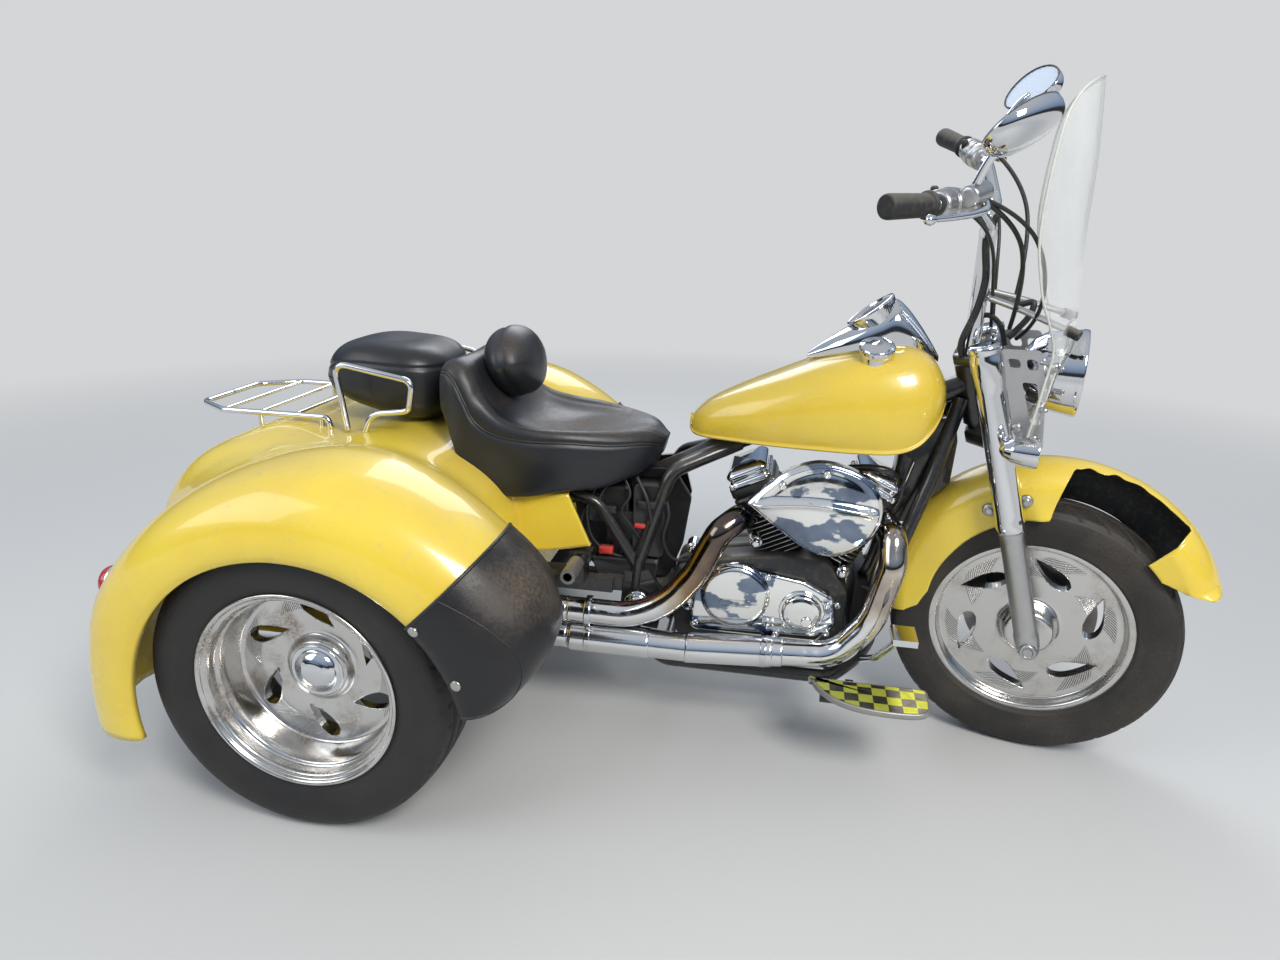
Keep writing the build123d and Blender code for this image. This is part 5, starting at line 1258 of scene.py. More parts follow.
# Passenger pegs: ribbed rubber sleeves on folding steel pins. The foot brackets are black, and the
# foot levers are plated.
sleeve_rubber = worn("sleeve_rubber", (0.02, 0.02, 0.02), 0.0, 0.6, drift=0.3, dust=0.4, grain=0.3)
for name, hand in (("right", -1), ("left", 1)):
    ribs = [(17.0 if n % 2 else 15.4) for n in range(27)]
    sleeve = [(14, 0), (14, 12)] + [(16 + n * 2.85, r) for n, r in enumerate(ribs)] + [(93, 15), (95, 10),
            (95, 0)]
    grip = turned_grid(sleeve, (445, hand * 190, 440), (0, hand, 0), (0, 0, 1), 36)
    build("peg_sleeve_" + name, [spun(grip)], sleeve_rubber, "peg_" + name, "rubber")
dress(board_rim, "peg_right", "peg_left")
dress(black_enamel, "foot_brackets")
dress(chrome, "foot_levers")

# Front wheel: like the rear ones but narrow, with long windows that lean the other way and a
# wider fan of milled lines. It turns with the fork, so it is drawn straight ahead and then steered.
RAKE = np.radians(16.0)
PARKED = np.radians(-14.0)
FRONT_X, FRONT_R = 1490.0, 312.0
STEER_FOOT = np.array([FRONT_X - 42.0 / np.cos(RAKE), 0.0, FRONT_R])
STEER_UP = np.array([-np.sin(RAKE), 0.0, np.cos(RAKE)])
STEER_FORE = np.array([np.cos(RAKE), 0.0, np.sin(RAKE)])


def steered(points):
    """Turns straight-ahead points about the steering axis u through c by the parked angle a:
    p -> c + v cos a + (u x v) sin a + u (u.v)(1 - cos a), with v = p - c (Rodrigues' formula)."""
    v = np.asarray(points, float) - STEER_FOOT
    along = (v @ STEER_UP)[..., None] * STEER_UP
    return STEER_FOOT + v * np.cos(PARKED) + np.cross(STEER_UP, v) * np.sin(PARKED) + along * (1
            - np.cos(PARKED))


def on_fork(fore, side, up):
    """A straight-ahead point by its distance ahead of the steering axis, its side and its way up the leg."""
    return STEER_FOOT + fore * STEER_FORE + up * STEER_UP + np.array([0.0, side, 0.0])


def at_axis(fore, side, z):
    """A straight-ahead point by its level distance ahead of the steering axis, its side and its height."""
    return np.array([STEER_FOOT[0] - (z - FRONT_R) * np.tan(RAKE) + fore, side, z])


front_hub = (FRONT_X, 0.0, FRONT_R)
FRONT_BARREL = [(14, 196), (20, 199), (34, 203), (38, 206), (39, 222), (42, 226), (44, 229), (43.5, 232),
                (37, 232.5), (35, 220), (-35, 220), (-37, 232.5), (-43.5, 232), (-44, 229), (-42, 226),
                (-39, 222), (-38, 206), (-34, 203), (-20, 199), (-14, 196), (-13, 150), (-12, 70),
                (-16, 64), (-40, 57), (-50, 52), (-54, 46), (-54, 12), (54, 12), (54, 46), (50, 52),
                (40, 57), (16, 64), (12, 70), (13, 150), (14, 191)]
front_alloy = machined("front_alloy", 6, 0.905, 0.985, 150, 0.9, 0.45)
ring = steered(turned_grid(evenly(FRONT_BARREL, 5.0), front_hub, (0, -1, 0), (1, 0, 0), 144))
rim = outward(grid_mesh("rim_front", [(row_frame(ring), True, True)], front_alloy))
windows = teardrops(6, 20, 142, 104, 50, -117, (30.0, -30.0), 1.06)
cut_windows(rim, windows, lambda depth, x, z: steered(np.array([FRONT_X + x, -depth, FRONT_R + z])))
settle(rim, "front_wheel", "alloy_polished", "front_rim")


def front_tread(turn, side):
    """A zigzag centre groove, and slanted grooves 5 mm wide every 12 degrees that sweep back to the edge."""
    degrees = np.degrees(turn)
    slant = (degrees + 0.22 * np.abs(side) + np.where(side > 0, 6.0, 0.0)) % 12.0 - 6.0
    arms = notch(slant * FRONT_R * np.pi / 180, 2.6) * (np.abs(side) > 8)
    centre = notch(side - 3.0 * np.sin(np.radians(degrees * 15)), 2.4)
    return 5.5 * np.clip(arms + centre, 0, 1)


front_rubber = rubber("front_rubber", 0.5, (0.1, 0.08, 0.06))
across, reach, turn = tyre_rings(60.0, FRONT_R, 232.0, 218.0, 420, 32, front_tread)
ring = steered(np.stack([FRONT_X + reach * np.cos(turn)[:, None], across, FRONT_R + reach * np.sin(turn)[:,
        None]], -1))
build("tyre_front", [(row_frame(ring), True, True)], front_rubber, "front_wheel", "tyre", "front_tyre")

# Brake disc: a drilled stainless plate on a black carrier, on the wheel's left.
disc_steel = worn("disc_steel", (0.42, 0.41, 0.4), 1.0, 0.28, dust=0.3, tint=(0.22, 0.14, 0.08), grain=0.2)
dress(disc_steel, "brake_disc")
dress(cast_black, "brake_caliper")
axle_steel = worn("axle_steel", (0.5, 0.5, 0.5), 1.0, 0.3, dust=0.15)
dress(axle_steel, "front_axle")

# Front fender: pressed steel, yellow outside and black inside, pushed up and forward by the crash.
# Ahead of the fork leg the right skirt is torn away, and what is left there has a ragged bent edge.
FENDER_HUB = np.array([FRONT_X + 15.0, 0.0, FRONT_R + 58.0])
FENDER_R, FENDER_HALF = 355.0, 76.0
FENDER_FRONT, FENDER_REAR = 20.0, 190.0
TORN = (43.0, 95.0)
# Depth of the skirt below the crown, by angle from level ahead
SKIRT = [(20, 26), (24, 70), (32, 104), (50, 112), (90, 118), (120, 122), (150, 120), (178, 112), (187, 92),
         (190, 64)]


def fender_sheet(turns, shares, hand):
    """Half a section: out to the share 0.6 of its girth it is an arc over the tyre, side = 76 sin,
    r = 355 - 62 (1 - cos), then it runs straight down the skirt. Each row is turned about the hub."""
    over = np.clip(shares / 0.6, 0, 1) * np.pi / 2
    below = np.clip((shares - 0.6) / 0.4, 0, 1)
    depth = np.interp(np.degrees(turns), *np.array(SKIRT).T)
    side = FENDER_HALF * np.sin(over) - 5.0 * below * hand * hand
    r = FENDER_R - np.minimum(62.0, depth) * (1 - np.cos(over)) - np.clip(depth - 62.0, 0, None) * below
    straight = np.stack([FENDER_HUB[0] + r * np.cos(turns), -hand * side + 0 * r,
                         FENDER_HUB[2] + r * np.sin(turns)], -1)
    return steered(straight)


turns = np.radians(np.linspace(FENDER_FRONT, FENDER_REAR, 240))[:, None]
rng = np.random.default_rng(7)
rag = curve_through(rng.uniform(-1, 1, 60), 240)[:, None]
degrees = np.degrees(turns)
torn_zone = np.clip((degrees - TORN[0]) / 2.0, 0, 1) * np.clip((TORN[1] - degrees) / 7.0, 0, 1)
reach = 1.0 - torn_zone * (0.86 + 0.045 * rag)
columns = np.linspace(0, 1, 28)[None, :]
right_skin = fender_sheet(turns, columns * reach, 1)
left_skin = fender_sheet(turns, columns + 0 * turns, -1)
dented = np.exp(-((degrees - 99.0) / 6.0) ** 2) * np.clip((columns * reach - 0.4) / 0.6, 0, 1) ** 2
right_skin[..., 1] -= 15.0 * dented
black_inside = worn("fender_underside", (0.012, 0.012, 0.012), 0.0, 0.6, dust=0.5, grain=0.4)
front_fender = outward(grid_mesh("fender_front", [open_sheet(right_skin), open_sheet(left_skin)], paint),
                       2e-5)
front_fender.data.materials.append(black_inside)
fender_wall = front_fender.modifiers.new("wall", "SOLIDIFY")
fender_wall.thickness, fender_wall.offset, fender_wall.material_offset = 0.0022, -1.0, 1
settle(front_fender, "fork", "paint_yellow", "front_fender")
stay_bolts = []
for fore, side, up in ((2, -80, 310), (2, 80, 310), (78, -80, 322), (78, 80, 322)):
    profile = evenly([(-2, 14), (3, 14), (5, 11), (5, 8), (11, 8), (12, 5), (12, 0)], 2.0)
    bolt = turned_grid(profile, on_fork(fore, side, up), (0, np.sign(side), 0), (1, 0, 0), 24)
    stay_bolts.append(spun(steered(bolt)))
build("fender_bolts", stay_bolts, axle_steel, "fork", "steel")

# Fork: satin alloy lower legs with a clamp and pinch bolt at the axle, plated covers above them, and two
# forged yokes. The legs are drawn straight ahead along the rake and then steered.
LEG_FORE, LEG_HALF = 42.0, 110.0
satin = worn("satin_alloy", (0.52, 0.52, 0.52), 1.0, 0.34, drift=0.1, dust=0.22, grain=0.12)
LOWER_LEG = [(-37, 0), (-37, 14), (-33, 19), (-24, 23), (-8, 26), (18, 27), (26, 25), (190, 25.5),
             (252, 26), (262, 28), (276, 28), (282, 25), (300, 25)]
COVER = [(268, 26), (268, 29), (274, 30.5), (290, 30.5), (296, 29.5), (590, 29.5), (600, 31), (624, 32.5),
         (652, 32.5), (660, 30), (664, 30), (668, 32), (680, 31), (682, 26), (682, 0)]
lowers, covers, feet = [], [], []
for side in (-1, 1):
    foot = on_fork(LEG_FORE, side * LEG_HALF, 0.0)
    lowers.append(spun(steered(turned_grid(evenly(LOWER_LEG, 12.0), foot, STEER_UP, (0, 1, 0), 48))))
    covers.append(spun(steered(turned_grid(evenly(COVER, 14.0), foot, STEER_UP, (0, 1, 0), 56))))
    clamp = turned_grid([(10, 0), (10, 15), (16, 18), (30, 18), (32, 16), (32, 11), (26, 10), (26, 0)],
                        (FRONT_X, side * LEG_HALF, FRONT_R), (0, side, 0), (1, 0, 0), 40)
    feet.append(spun(steered(clamp)))
build("leg_lowers", lowers, satin, "fork", "alloy", "fork_legs")
build("leg_covers", covers, chrome, "fork", "chrome")
build("axle_clamps", feet, axle_steel, "fork", "steel")
UPPER_YOKE, LOWER_YOKE = 642.4, 467.4
yoke_grids = []
for up, thick in ((UPPER_YOKE, 26), (LOWER_YOKE, 30)):
    arms = rounded([(-30, -30), (LEG_FORE - 24, -LEG_HALF + 8), (LEG_FORE + 26, -LEG_HALF + 8),
                    (LEG_FORE + 20, 0), (LEG_FORE + 26, LEG_HALF - 8), (LEG_FORE - 24, LEG_HALF - 8),
                    (-30, 30)], 9)
    levels = [(-thick / 2, 4), (-thick / 2 + 4, 0), (thick / 2 - 4, 0), (thick / 2, 4)]
    forged = stacked(arms, levels, on_fork(0, 0, up), STEER_FORE, np.array([0.0, 1.0, 0.0]), STEER_UP)
    yoke_grids.append(swept(steered(forged)))
stem_profile = evenly([(LOWER_YOKE, 0), (LOWER_YOKE, 26), (UPPER_YOKE, 26), (UPPER_YOKE + 14, 24),
                       (UPPER_YOKE + 24, 20), (UPPER_YOKE + 26, 0)], 12.0)
yoke_grids.append(spun(steered(turned_grid(stem_profile, STEER_FOOT, STEER_UP, (0, 1, 0), 40))))
build("yoke_arms", yoke_grids, black_enamel, "fork", "paint_black", "yokes")

# Windshield: clear plastic bent to a part cylinder and leaned back a little, rounded at the top, arched
# over the headlight and drawn in to two legs that bolt to slotted plates. Its edges catch the light.
SHIELD_R = 314.0
# Crown's x by height, half width by height, and the inner edge by height
SHIELD_CROWN = [(768, 1432), (850, 1444), (926, 1454), (1000, 1464), (1100, 1458), (1200, 1449),
                (1320, 1445), (1400, 1438), (1474, 1430)]
SHIELD_SIDE = [(768, 128), (850, 132), (930, 137), (975, 146), (1030, 172), (1085, 197), (1150, 210),
               (1215, 215), (1290, 212), (1350, 204), (1400, 190), (1430, 170), (1452, 140), (1466, 96),
               (1472, 50), (1474, 2)]
SHIELD_ARCH = [(768, 100), (880, 101), (950, 98), (985, 86), (1005, 64), (1016, 36), (1020, 2), (1020.5, 0),
               (1474, 0)]
SHIELD_FOOT, SHIELD_TIP = 768.0, 1474.0
level = SHIELD_FOOT + (SHIELD_TIP - SHIELD_FOOT) * (1 - np.cos(np.linspace(0, np.pi, 120))) / 2
half = np.interp(level, *curve_through(SHIELD_SIDE, 600).T)
arch = np.interp(level, *np.array(SHIELD_ARCH, float).T)
crown = np.interp(level, *curve_through(SHIELD_CROWN, 300).T)
share = np.linspace(0, 1, 22)[None, :]
side = arch[:, None] + (half - arch)[:, None] * share


def shield_point(side, level, crown):
    """A point of the shield, x = crown - (R - sqrt(R^2 - y^2)): the crown leans back with height."""
    return np.stack([crown - SHIELD_R + np.sqrt(SHIELD_R ** 2 - side ** 2) + 0 * level, side,
                     level + 0 * side], -1)


clear, tree, links, bsdf = shader("clear_plastic", (0.86, 0.88, 0.86), 0.0, 0.06)
bsdf.inputs["IOR"].default_value = 1.3
rim_light = tree.new("ShaderNodeLayerWeight")
rim_light.inputs["Blend"].default_value = 0.35
haze = span(tree, links, speckle(tree, links, 12.0, 6.0), 0.0, 0.08, 0.45, 0.75)
links.new(sums(tree, links, "ADD", span(tree, links, rim_light.outputs["Facing"], 0.07, 0.34, 0.2, 1.0),
               haze), bsdf.inputs["Alpha"])
links.new(span(tree, links, speckle(tree, links, 90.0, 5.0), 0.04, 0.2), bsdf.inputs["Roughness"])
panes = [open_sheet(steered(shield_point(hand * side, level[:, None], crown[:, None]))) for hand in (-1, 1)]
pane = outward(grid_mesh("shield_pane", panes, clear), 2e-5)
pane_wall = pane.modifiers.new("wall", "SOLIDIFY")
pane_wall.thickness, pane_wall.offset = 0.004, 0.0
settle(pane, "fork", "clear", "windshield")
# The rim's pale tone is a painted highlight, for the light that the clear edges catch.
edge_painted_highlight = worn("shield_edge", (0.62, 0.64, 0.58), 0.0, 0.3, drift=0.1, dust=0.1)
edges = []
for hand in (-1, 1):
    route = shield_point(hand * half, level, crown)
    edges.append(swept(steered(tube_grid(route, 2.3, 8))))
    route = shield_point(hand * arch, level, crown)[level < 1020.5]
    edges.append(swept(steered(tube_grid(route, 2.3, 8))))
build("shield_rim", edges, edge_painted_highlight, "fork", "clear")

# Shield brackets: alloy plates with a long window and two slots, bolted to the fork and to the shield's
# legs, and a flat stay with a rubber foot that steadies the shield above them.
PLATE = [(75.2, 800), (92, 772), (128, 772), (150, 900), (152, 975), (75.2, 972)]
OPENINGS = [([(84, 936), (84, 954), (108, 954), (108, 936)], 7), ([(120, 934), (120, 956), (142, 956),
        (140, 934)], 7), ([(112, 822), (106, 908), (134, 908), (130, 822)], 5)]


def pierced(name, outline, holes, place, finish):
    """A flat sheet with holes: the closed outlines are joined up and filled with triangles between them."""
    shell = bmesh.new()
    for loop in (outline, *holes):
        ring = [shell.verts.new(row_frame(place(*spot))) for spot in loop]
        for first, second in zip(ring, ring[1:] + ring[:1]):
            shell.edges.new((first, second))
    bmesh.ops.triangle_fill(shell, use_beauty=True, use_dissolve=False, edges=shell.edges[:])
    mesh = bpy.data.meshes.new(name)
    shell.to_mesh(mesh)
    shell.free()
    piece = bpy.data.objects.new(name, mesh)
    bpy.context.scene.collection.objects.link(piece)
    mesh.materials.append(finish)
    sheet = piece.modifiers.new("wall", "SOLIDIFY")
    sheet.thickness, sheet.offset = 0.004, 0.0
    return piece


for name, hand in (("right", -1), ("left", 1)):
    plate = pierced("shield_plate_" + name, rounded(PLATE, 8), [rounded(spots, r, 2.0) for spots,
            r in OPENINGS], lambda fore, z: steered(at_axis(fore, hand * 108.0, z)), satin)
    settle(plate, "fork", "alloy", *(["shield_brackets"] if hand < 0 else []))
stays, plates, feet = [], [], []
for hand in (-1, 1):
    bar = curve_through([at_axis(58, hand * 44, 1062), at_axis(120, hand * 70, 1046),
                         at_axis(190, hand * 98, 1022), at_axis(222, hand * 112, 1010)], 24)
    stays.append(swept(steered(tube_grid(bar, 6.5, 14))))
    feet.append(swept(steered(tube_grid(bar[17:], 10.5, 18))))
    for z in (786, 862, 946):
        spot = shield_point(hand * 114.0, z, np.interp(z, level, crown))
        out = spot - [np.interp(z, level, crown) - SHIELD_R, 0, z]
        profile = evenly([(-7, 0), (-7, 9), (-3, 10), (4, 10), (7, 7.5), (8, 0)], 2.0)
        plates.append(spun(steered(turned_grid(profile, spot, out, (0, 0, 1), 20))))
    for fore, z in ((112, 790), (84, 812)):
        profile = evenly([(-6, 0), (-6, 9), (4, 10), (7, 9), (9, 5), (9, 0)], 2.0)
        plates.append(spun(steered(turned_grid(profile, at_axis(fore, hand * 108.0, z), (0, hand, 0),
                                               (0, 0, 1), 20))))
    for z in (855, 952):
        reach = [at_axis(146, hand * 108, z), shield_point(hand * 112.0, z, np.interp(z, level, crown))]
        stays.append(swept(steered(tube_grid(np.linspace(*reach, 6), 5, 12))))
build("shield_stays", stays, satin, "fork", "alloy")
build("stay_feet", feet, black_inside, "fork", "rubber")
build("shield_bolts", plates, axle_steel, "fork", "steel")

# Headlight: a plated bucket with a rolled rim, a lens with moulded flutes, and a bullet-shaped turn
# signal either side on a cross bar.
LAMP = np.array([1376.0, 0.0, 912.0])
bucket = evenly([(-2, 0), (-2, 24), (4, 44), (20, 66), (42, 80), (86, 88), (104, 90), (112, 92), (118, 91),
                 (118, 86), (110, 82)], 5.0)
build("lamp_bucket", [spun(steered(turned_grid(bucket, LAMP, (1, 0, 0), (0, 1, 0), 96)))], chrome, "fork",
      "chrome", "headlight")
glass, tree, links, bsdf = shader("lamp_glass", (0.8, 0.83, 0.85), 0.25, 0.08, 0.6)
flutes = tree.new("ShaderNodeTexWave")
flutes.inputs["Scale"].default_value = 26.0
place = tree.new("ShaderNodeTexCoord")
links.new(place.outputs["Object"], flutes.inputs["Vector"])
flutes.bands_direction = "Y"
bumped(tree, links, bsdf, flutes.outputs["Fac"], 0.4, 0.002)
links.new(mixed(tree, links, flutes.outputs["Fac"], (0.8, 0.83, 0.85), (0.5, 0.53, 0.56)),
          bsdf.inputs["Base Color"])
lens_grid = turned_grid(evenly([(108, 84), (114, 70), (118, 45), (120, 20), (120.5, 0)], 4.0), LAMP,
                        (1, 0, 0), (0, 1, 0), 72)
build("lamp_lens", [spun(steered(lens_grid))], glass, "fork", "clear")
amber = worn("amber_lens", (0.75, 0.24, 0.02), 0.0, 0.15, 0.4, drift=0.2, dust=0.1)
SIGNAL_FORE, SIGNAL_UP = 91.3, 467.4
signals, lenses = [], []
bar = np.array([on_fork(SIGNAL_FORE, y, SIGNAL_UP) for y in np.linspace(-176, 176, 12)])
signals.append(swept(steered(tube_grid(bar, 9, 20))))
for side in (-1, 1):
    middle = on_fork(SIGNAL_FORE, side * 186, SIGNAL_UP)
    bullet = evenly([(-46, 0), (-45, 6), (-38, 15), (-22, 24), (0, 29), (20, 31), (27, 31), (28, 29),
                     (24, 27)], 3.0)
    signals.append(spun(steered(turned_grid(bullet, middle, (1, 0, 0), (0, 1, 0), 40))))
    lens_profile = evenly([(18, 27), (22, 24), (25, 12), (25.5, 0)], 3.0)
    lenses.append(spun(steered(turned_grid(lens_profile, middle, (1, 0, 0), (0, 1, 0), 40))))
build("signal_bodies", signals, chrome, "fork", "chrome", "signal_lamps")
build("signal_lenses", lenses, amber, "fork", "lamp_amber")

# Handlebar: one plated steel tube on two risers, bent in the crash so that it leans by 7.5 degrees.
BAR_TILT = np.radians(7.5)
BAR_PIVOT = at_axis(78.0, 0.0, 1196.0)


def tilted(points):
    """Turns points on the handlebar about the level line through its middle, then steers them."""
    v = np.asarray(points, float) - BAR_PIVOT
    c, s = np.cos(BAR_TILT), np.sin(BAR_TILT)
    turned = np.stack([v[..., 0], v[..., 1] * c - v[..., 2] * s, v[..., 1] * s + v[..., 2] * c], -1)
    return steered(turned + BAR_PIVOT)


dress(chrome, "handlebar")
grip_rubber = worn("grip_rubber", (0.02, 0.02, 0.021), 0.0, 0.6, drift=0.3, dust=0.35, grain=0.3)
GRIP = [(-54, 0), (-54, 18), (-52, 20.5), (-46, 21.5), (40, 20), (42, 21), (44, 24), (50, 25), (53, 23),
        (54, 15)]
grips = []
for side in (-1, 1):
    inner, outer = at_axis(20, side * 347, 1303.5), at_axis(-38, side * 434.5, 1315.6)
    grip = turned_grid(evenly(GRIP, 2.2), (inner + outer) / 2, inner - outer, (0, 0, 1), 60)
    grips.append(spun(tilted(grip)))
build("bar_grips", grips, grip_rubber, "fork", "rubber", "grips")

# Switch housings, brake and clutch levers: plated die castings clamped round the bar, a fluid
# reservoir on each, and a forged lever that ends in a ball.
LEVER = [(97, 262, 1296), (102, 285, 1288), (88, 325, 1288), (66, 370, 1291), (40, 408, 1294),
         (22, 432, 1296)]
HOUSING = [(-46, 12), (-46, 21), (-42, 25), (-20, 27), (-18, 24), (-14, 24), (-12, 28), (10, 29), (12, 25),
           (16, 25), (18, 28), (40, 26), (45, 22), (46, 13)]
controls, levers, switches = [], [], []
for side in (-1, 1):
    near, far = at_axis(28, side * 335, 1302), at_axis(62, side * 252, 1290)
    controls.append(spun(tilted(turned_grid(evenly(HOUSING, 4.0), (near + far) / 2, near - far, (0, 0, 1),
                                            40))))
    tank_ends = at_axis(80, side * 310, 1312), at_axis(100, side * 250, 1312)
    pot = [(-34, 0), (-34, 15), (-31, 19), (31, 19), (34, 15), (34, 0)]
    controls.append(spun(tilted(turned_grid(evenly(pot, 5.0), sum(tank_ends) / 2,
                                            tank_ends[0] - tank_ends[1], (0, 0, 1), 32))))
    reach = curve_through([at_axis(x, side * y, z) for x, y, z in LEVER], 40)
    thick = np.interp(np.linspace(0, 1, 40), [0, 0.15, 0.4, 0.85, 0.9, 0.95, 1.0], [11, 9, 6.5, 5, 8.5, 9.5,
            6])
    levers.append(swept(tilted(tube_grid(reach, thick, 20))))
    for x, y, z in ((24, 300, 1318), (52, 276, 1290)):
        spot = at_axis(x, side * y, z)
        switches.append(spun(tilted(turned_grid([(-10, 0), (-10, 7), (6, 7), (9, 5), (9, 0)], spot,
                                                (0, 0, 1), (1, 0, 0), 16))))
build("switch_housings", controls, satin, "fork", "alloy", "hand_controls")
build("hand_levers", levers, chrome, "fork", "chrome")
build("switch_buttons", switches, grip_rubber, "fork", "plastic_black")

# Mirrors: oval plated shells on slim curved stems, each with a flat glass in its open side.
MIRROR_LEAN = 0.19
shells, glasses, rims = [], [], []
for side in (-1, 1):
    look = np.array([0.70, side * 0.33, -0.63])
    look /= np.linalg.norm(look)
    level_way = np.cross(UPWARD, look) * side
    level_way /= np.linalg.norm(level_way)
    lift = np.cross(look, level_way) * side
    c, s = np.cos(MIRROR_LEAN), np.sin(MIRROR_LEAN)
    level_way, lift = level_way * c - lift * s, lift * c + level_way * s
    stem = curve_through([at_axis(85, side * 285, 1316), at_axis(116, side * 288, 1362),
                          at_axis(148, side * 296, 1400), at_axis(174, side * 306, 1420)], 28)
    shells.append(swept(tilted(tube_grid(stem, np.linspace(8, 6, 28), 14))))
    middle = at_axis(182, side * 322, 1433)
    a = np.linspace(0, 2 * np.pi, 72, endpoint=False)[None, :]
    t = np.linspace(0, 1, 22)[:, None]
    depth, spread = 34 * np.cos(t * np.pi / 2) ** 0.8, np.sin(t * np.pi / 2) ** 0.7
    depth = np.concatenate([depth, [[-3.0]], [[-3.0]]])
    spread = np.concatenate([spread, [[1.0], [0.96]]])
    egg = 1 + 0.14 * np.cos(a)
    oval = (86 * np.cos(a))[..., None] * level_way + (54 * np.sin(a) * egg)[..., None] * lift
    shells.append(swept(tilted(middle + depth[..., None] * look + spread[..., None] * oval)))
    glasses.append(swept(tilted(middle - 2.0 * look + 0.965 * t[..., None] * oval)))
    edge = (middle - 2.4 * look + 0.975 * oval)[0]
    rims.append(swept(tilted(tube_grid(np.concatenate([edge, edge[:1]]), 2.0, 8))))
build("mirror_shells", shells, chrome, "fork", "chrome", "mirrors", merge=1e-4)
build("mirror_rims", rims, grip_rubber, "fork", "rubber", merge=1e-4)
# The glass's blue-grey colour is a painted reflection of the sky.
mirror_sky_painted = worn("mirror_glass", (0.2, 0.3, 0.45), 0.0, 0.3, drift=0.05, dust=0.05)
settle(grid_mesh("mirror_glasses", glasses, mirror_sky_painted), "fork", "clear")

# Control cables: black plastic-sheathed steel from the levers down past the headlight to the yokes.
# Thicker sleeves with the switch leads in them run down beside the right riser.
sheath = worn("cable_sheath", (0.012, 0.012, 0.012), 0.0, 0.42, drift=0.2, dust=0.2)
SLEEVES = [([(1268, -92, 1222), (1256, -80, 1196), (1256, -72, 1162), (1266, -68, 1095), (1258, -66, 1031),
             (1240, -60, 968), (1246, -50, 934)], 7.5), ([(1252, -40, 1060), (1290, -42, 1058),
                                                          (1340, -46, 1046), (1368, -58, 1052),
                                                          (1362, -62, 1022), (1330, -60, 978)], 6.5),
           ([(1262, -30, 1010), (1290, -36, 1020), (1316, -40, 1000), (1330, -44, 960)], 5.5)]
sleeves = [swept(tube_grid(curve_through(route, 48), radius, 18)) for route, radius in SLEEVES]
build("loom_sleeves", sleeves, sheath, "fork", "plastic_black")
CABLES = {"throttle_cable": ([(92, -262, 1303), (150, -200, 1250), (140, -120, 1120), (95, -70, 1010)],
                             4.5), "clutch_cable": ([(92, 262, 1303), (150, 200, 1250), (140, 120, 1120),
                                                     (95, 70, 1010)], 4.5),
          "brake_hose": ([(98, -250, 1300), (168, -214, 1262), (186, -160, 1150), (150, -96, 1030),
                          (104, -60, 985)], 4.0), "switch_lead": ([(60, -262, 1284), (84, -190, 1250),
        (92, -110, 1180), (74, -60, 1090), (56, -40, 1000)], 3.6), "left_switch_lead": ([(60, 262, 1284),
        (84, 190, 1250), (92, 110, 1180), (74, 60, 1090), (56, 40, 1000)], 3.6),}
for name, (route, radius) in CABLES.items():
    curve = bpy.data.curves.new(name, "CURVE")
    curve.dimensions, curve.bevel_depth, curve.bevel_resolution = "3D", radius / 1000.0, 4
    spline = curve.splines.new("NURBS")
    places = row_frame(tilted(np.array([at_axis(*spot) for spot in route])))
    spline.points.add(len(places) - 1)
    spline.points.foreach_set("co", np.concatenate([places, np.ones((len(places), 1))],
                                                   1).astype(np.float32).ravel())
    spline.order_u, spline.use_endpoint_u = 3, True
    cable = bpy.data.objects.new(name, curve)
    bpy.context.scene.collection.objects.link(cable)
    curve.materials.append(sheath)
    curve.use_fill_caps = True
    settle(cable, "fork", "rubber", *(["control_cables"] if name == "throttle_cable" else []))

# Camera, floor and studio light: the camera stands where the photograph was taken from.
# The floor and the backdrop are pale and plain, and soft lamps light the machine from both sides.
yaw, pitch, roll = np.radians([-9.37, 18.18, -1.66])
fore = np.array([np.sin(yaw) * np.cos(pitch), np.cos(yaw) * np.cos(pitch), -np.sin(pitch)])
right = np.array([np.cos(yaw), -np.sin(yaw), 0.0])
down = np.cross(fore, right)
right, down = np.cos(roll) * right + np.sin(roll) * down, -np.sin(roll) * right + np.cos(roll) * down
FOCAL_PIXELS, PHOTO_WIDTH = 841.0, 1280.0
lens = bpy.data.cameras.new("camera")
lens.lens, lens.sensor_width = FOCAL_PIXELS / PHOTO_WIDTH * 36.0, 36.0
lens.shift_x, lens.shift_y = -1.5 / PHOTO_WIDTH, -0.4 / PHOTO_WIDTH
eye = bpy.data.objects.new("camera", lens)
bpy.context.scene.collection.objects.link(eye)
stand = Matrix(np.column_stack([right, -down, -fore]).tolist()).to_4x4()
stand.translation = Vector((0.873 - AXLE_X / 1000.0, -1.920, 1.223))
eye.matrix_world = stand
bpy.context.scene.camera = eye
bpy.context.scene.view_settings.view_transform = "Standard"

# The world is a soft sky above a dark skyline for the light, and a pale wall for the camera
BACKDROP = (0.66, 0.67, 0.68)
world = bpy.data.worlds.new("studio")
world.use_nodes = True
bpy.context.scene.world = world
sky_tree, sky_links = world.node_tree.nodes, world.node_tree.links
sky = sky_tree["Background"]
sky.inputs["Strength"].default_value = 0.62
towards = sky_tree.new("ShaderNodeTexCoord")
split = sky_tree.new("ShaderNodeSeparateXYZ")
sky_links.new(towards.outputs["Generated"], split.inputs["Vector"])
bands = sky_tree.new("ShaderNodeValToRGB")
stops = bands.color_ramp.elements
stops[0].position, stops[0].color = 0.49, (0.36, 0.36, 0.35, 1)
stops[1].position, stops[1].color = 1.0, (0.95, 0.97, 1.0, 1)
for height, tone in ((0.505, (0.05, 0.055, 0.06)), (0.56, (0.06, 0.07, 0.08)), (0.6, (0.3, 0.42, 0.62)),
                     (0.74, (0.62, 0.75, 0.95))):
    stops.new(height).color = (*tone, 1)
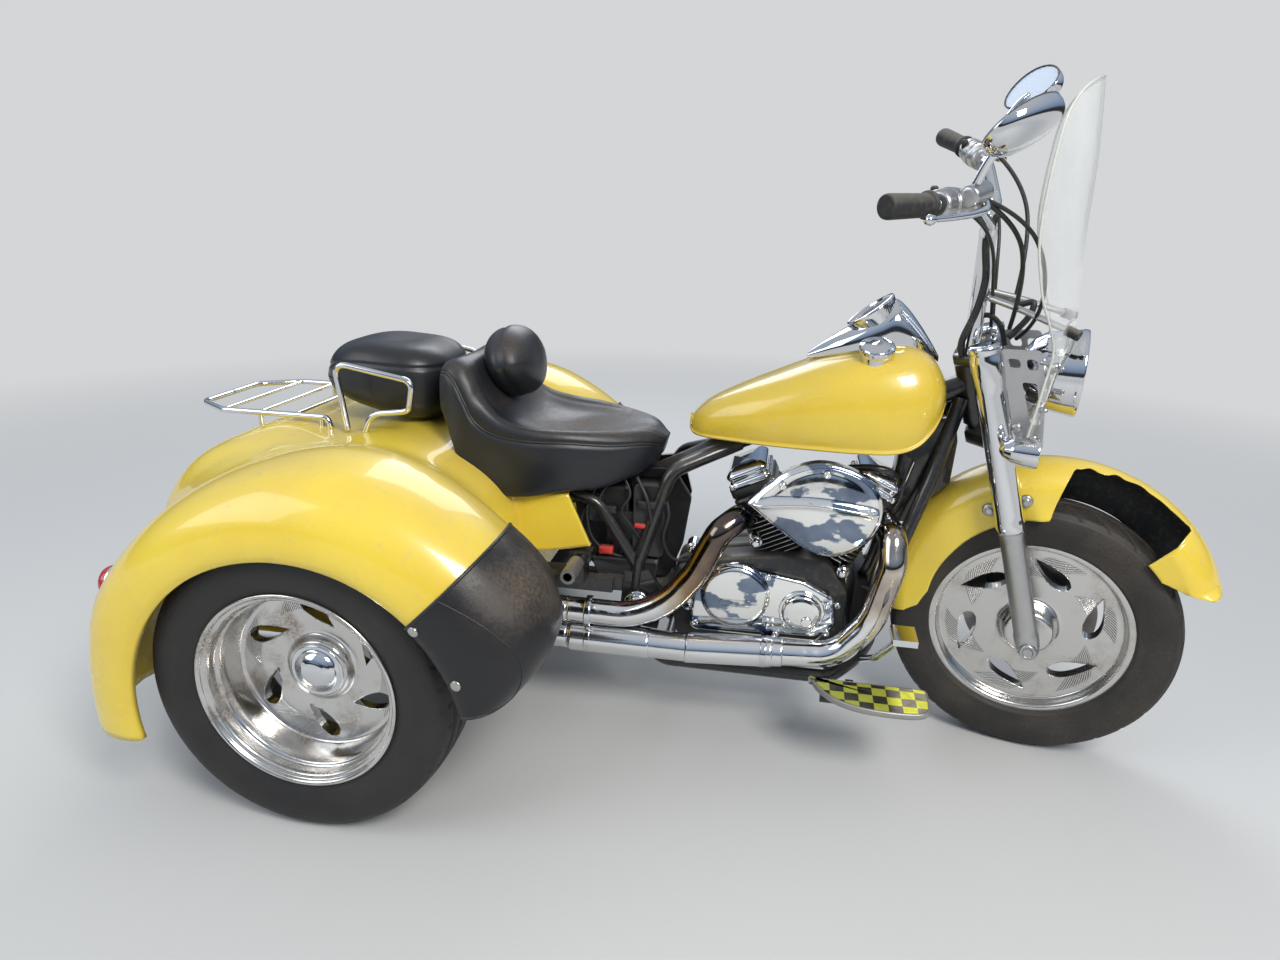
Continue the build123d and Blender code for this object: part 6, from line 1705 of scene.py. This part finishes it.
sky_links.new(span(sky_tree, sky_links, split.outputs["Z"], 0.0, 1.0, -1.0, 1.0), bands.inputs["Fac"])
sky_links.new(bands.outputs["Color"], sky.inputs["Color"])
wall = sky_tree.new("ShaderNodeBackground")
wall.inputs["Color"].default_value = (*BACKDROP, 1)
wall.inputs["Strength"].default_value = 1.0
ray = sky_tree.new("ShaderNodeLightPath")
pick = sky_tree.new("ShaderNodeMixShader")
sky_links.new(ray.outputs["Is Camera Ray"], pick.inputs["Fac"])
sky_links.new(sky.outputs["Background"], pick.inputs[1])
sky_links.new(wall.outputs["Background"], pick.inputs[2])
sky_links.new(pick.outputs["Shader"], sky_tree["World Output"].inputs["Surface"])

# The floor is lit near the machine and fades into the wall's own tone further out
floor_finish, floor_tree, floor_links, floor_bsdf = shader("floor_pale", (0.56, 0.56, 0.55), 0.0, 0.85)
floor_links.new(span(floor_tree, floor_links, speckle(floor_tree, floor_links, 6.0), 0.8, 0.9),
                floor_bsdf.inputs["Roughness"])
spot = floor_tree.new("ShaderNodeTexCoord")
reach = floor_tree.new("ShaderNodeVectorMath")
reach.operation = "LENGTH"
floor_links.new(spot.outputs["Object"], reach.inputs[0])
glow = floor_tree.new("ShaderNodeEmission")
glow.inputs["Color"].default_value = (*BACKDROP, 1)
fade = floor_tree.new("ShaderNodeMixShader")
floor_links.new(span(floor_tree, floor_links, reach.outputs["Value"], 0.0, 1.0, 1.8, 5.5),
                fade.inputs["Fac"])
floor_links.new(floor_bsdf.outputs["BSDF"], fade.inputs[1])
floor_links.new(glow.outputs["Emission"], fade.inputs[2])
floor_links.new(fade.outputs["Shader"], floor_tree["Material Output"].inputs["Surface"])
u, v = np.meshgrid(np.linspace(-40, 40, 41), np.linspace(-40, 40, 41), indexing="ij")
ground = grid_mesh("studio_floor", [(np.stack([u, v, 0 * u - 0.0005], -1), False, False)], floor_finish)


def soft_lamp(name, place, towards, size, power, tint):
    """A square soft lamp that points from its place towards a spot."""
    light = bpy.data.lights.new(name, "AREA")
    light.shape, light.size, light.energy, light.color = "SQUARE", size, power, tint
    lamp = bpy.data.objects.new(name, light)
    bpy.context.scene.collection.objects.link(lamp)
    lamp.location = place
    lamp.rotation_euler = (Vector(towards) - Vector(place)).to_track_quat("-Z", "Y").to_euler()


soft_lamp("key", (1.9, -2.9, 3.4), (0, 0, 0.4), 1.4, 150, (1.0, 0.97, 0.92))
soft_lamp("fill", (-2.8, -2.2, 2.4), (0, 0, 0.4), 2.2, 45, (0.92, 0.96, 1.0))
soft_lamp("back", (-0.5, 3.0, 3.0), (0, 0, 0.4), 2.2, 60, (0.95, 0.97, 1.0))
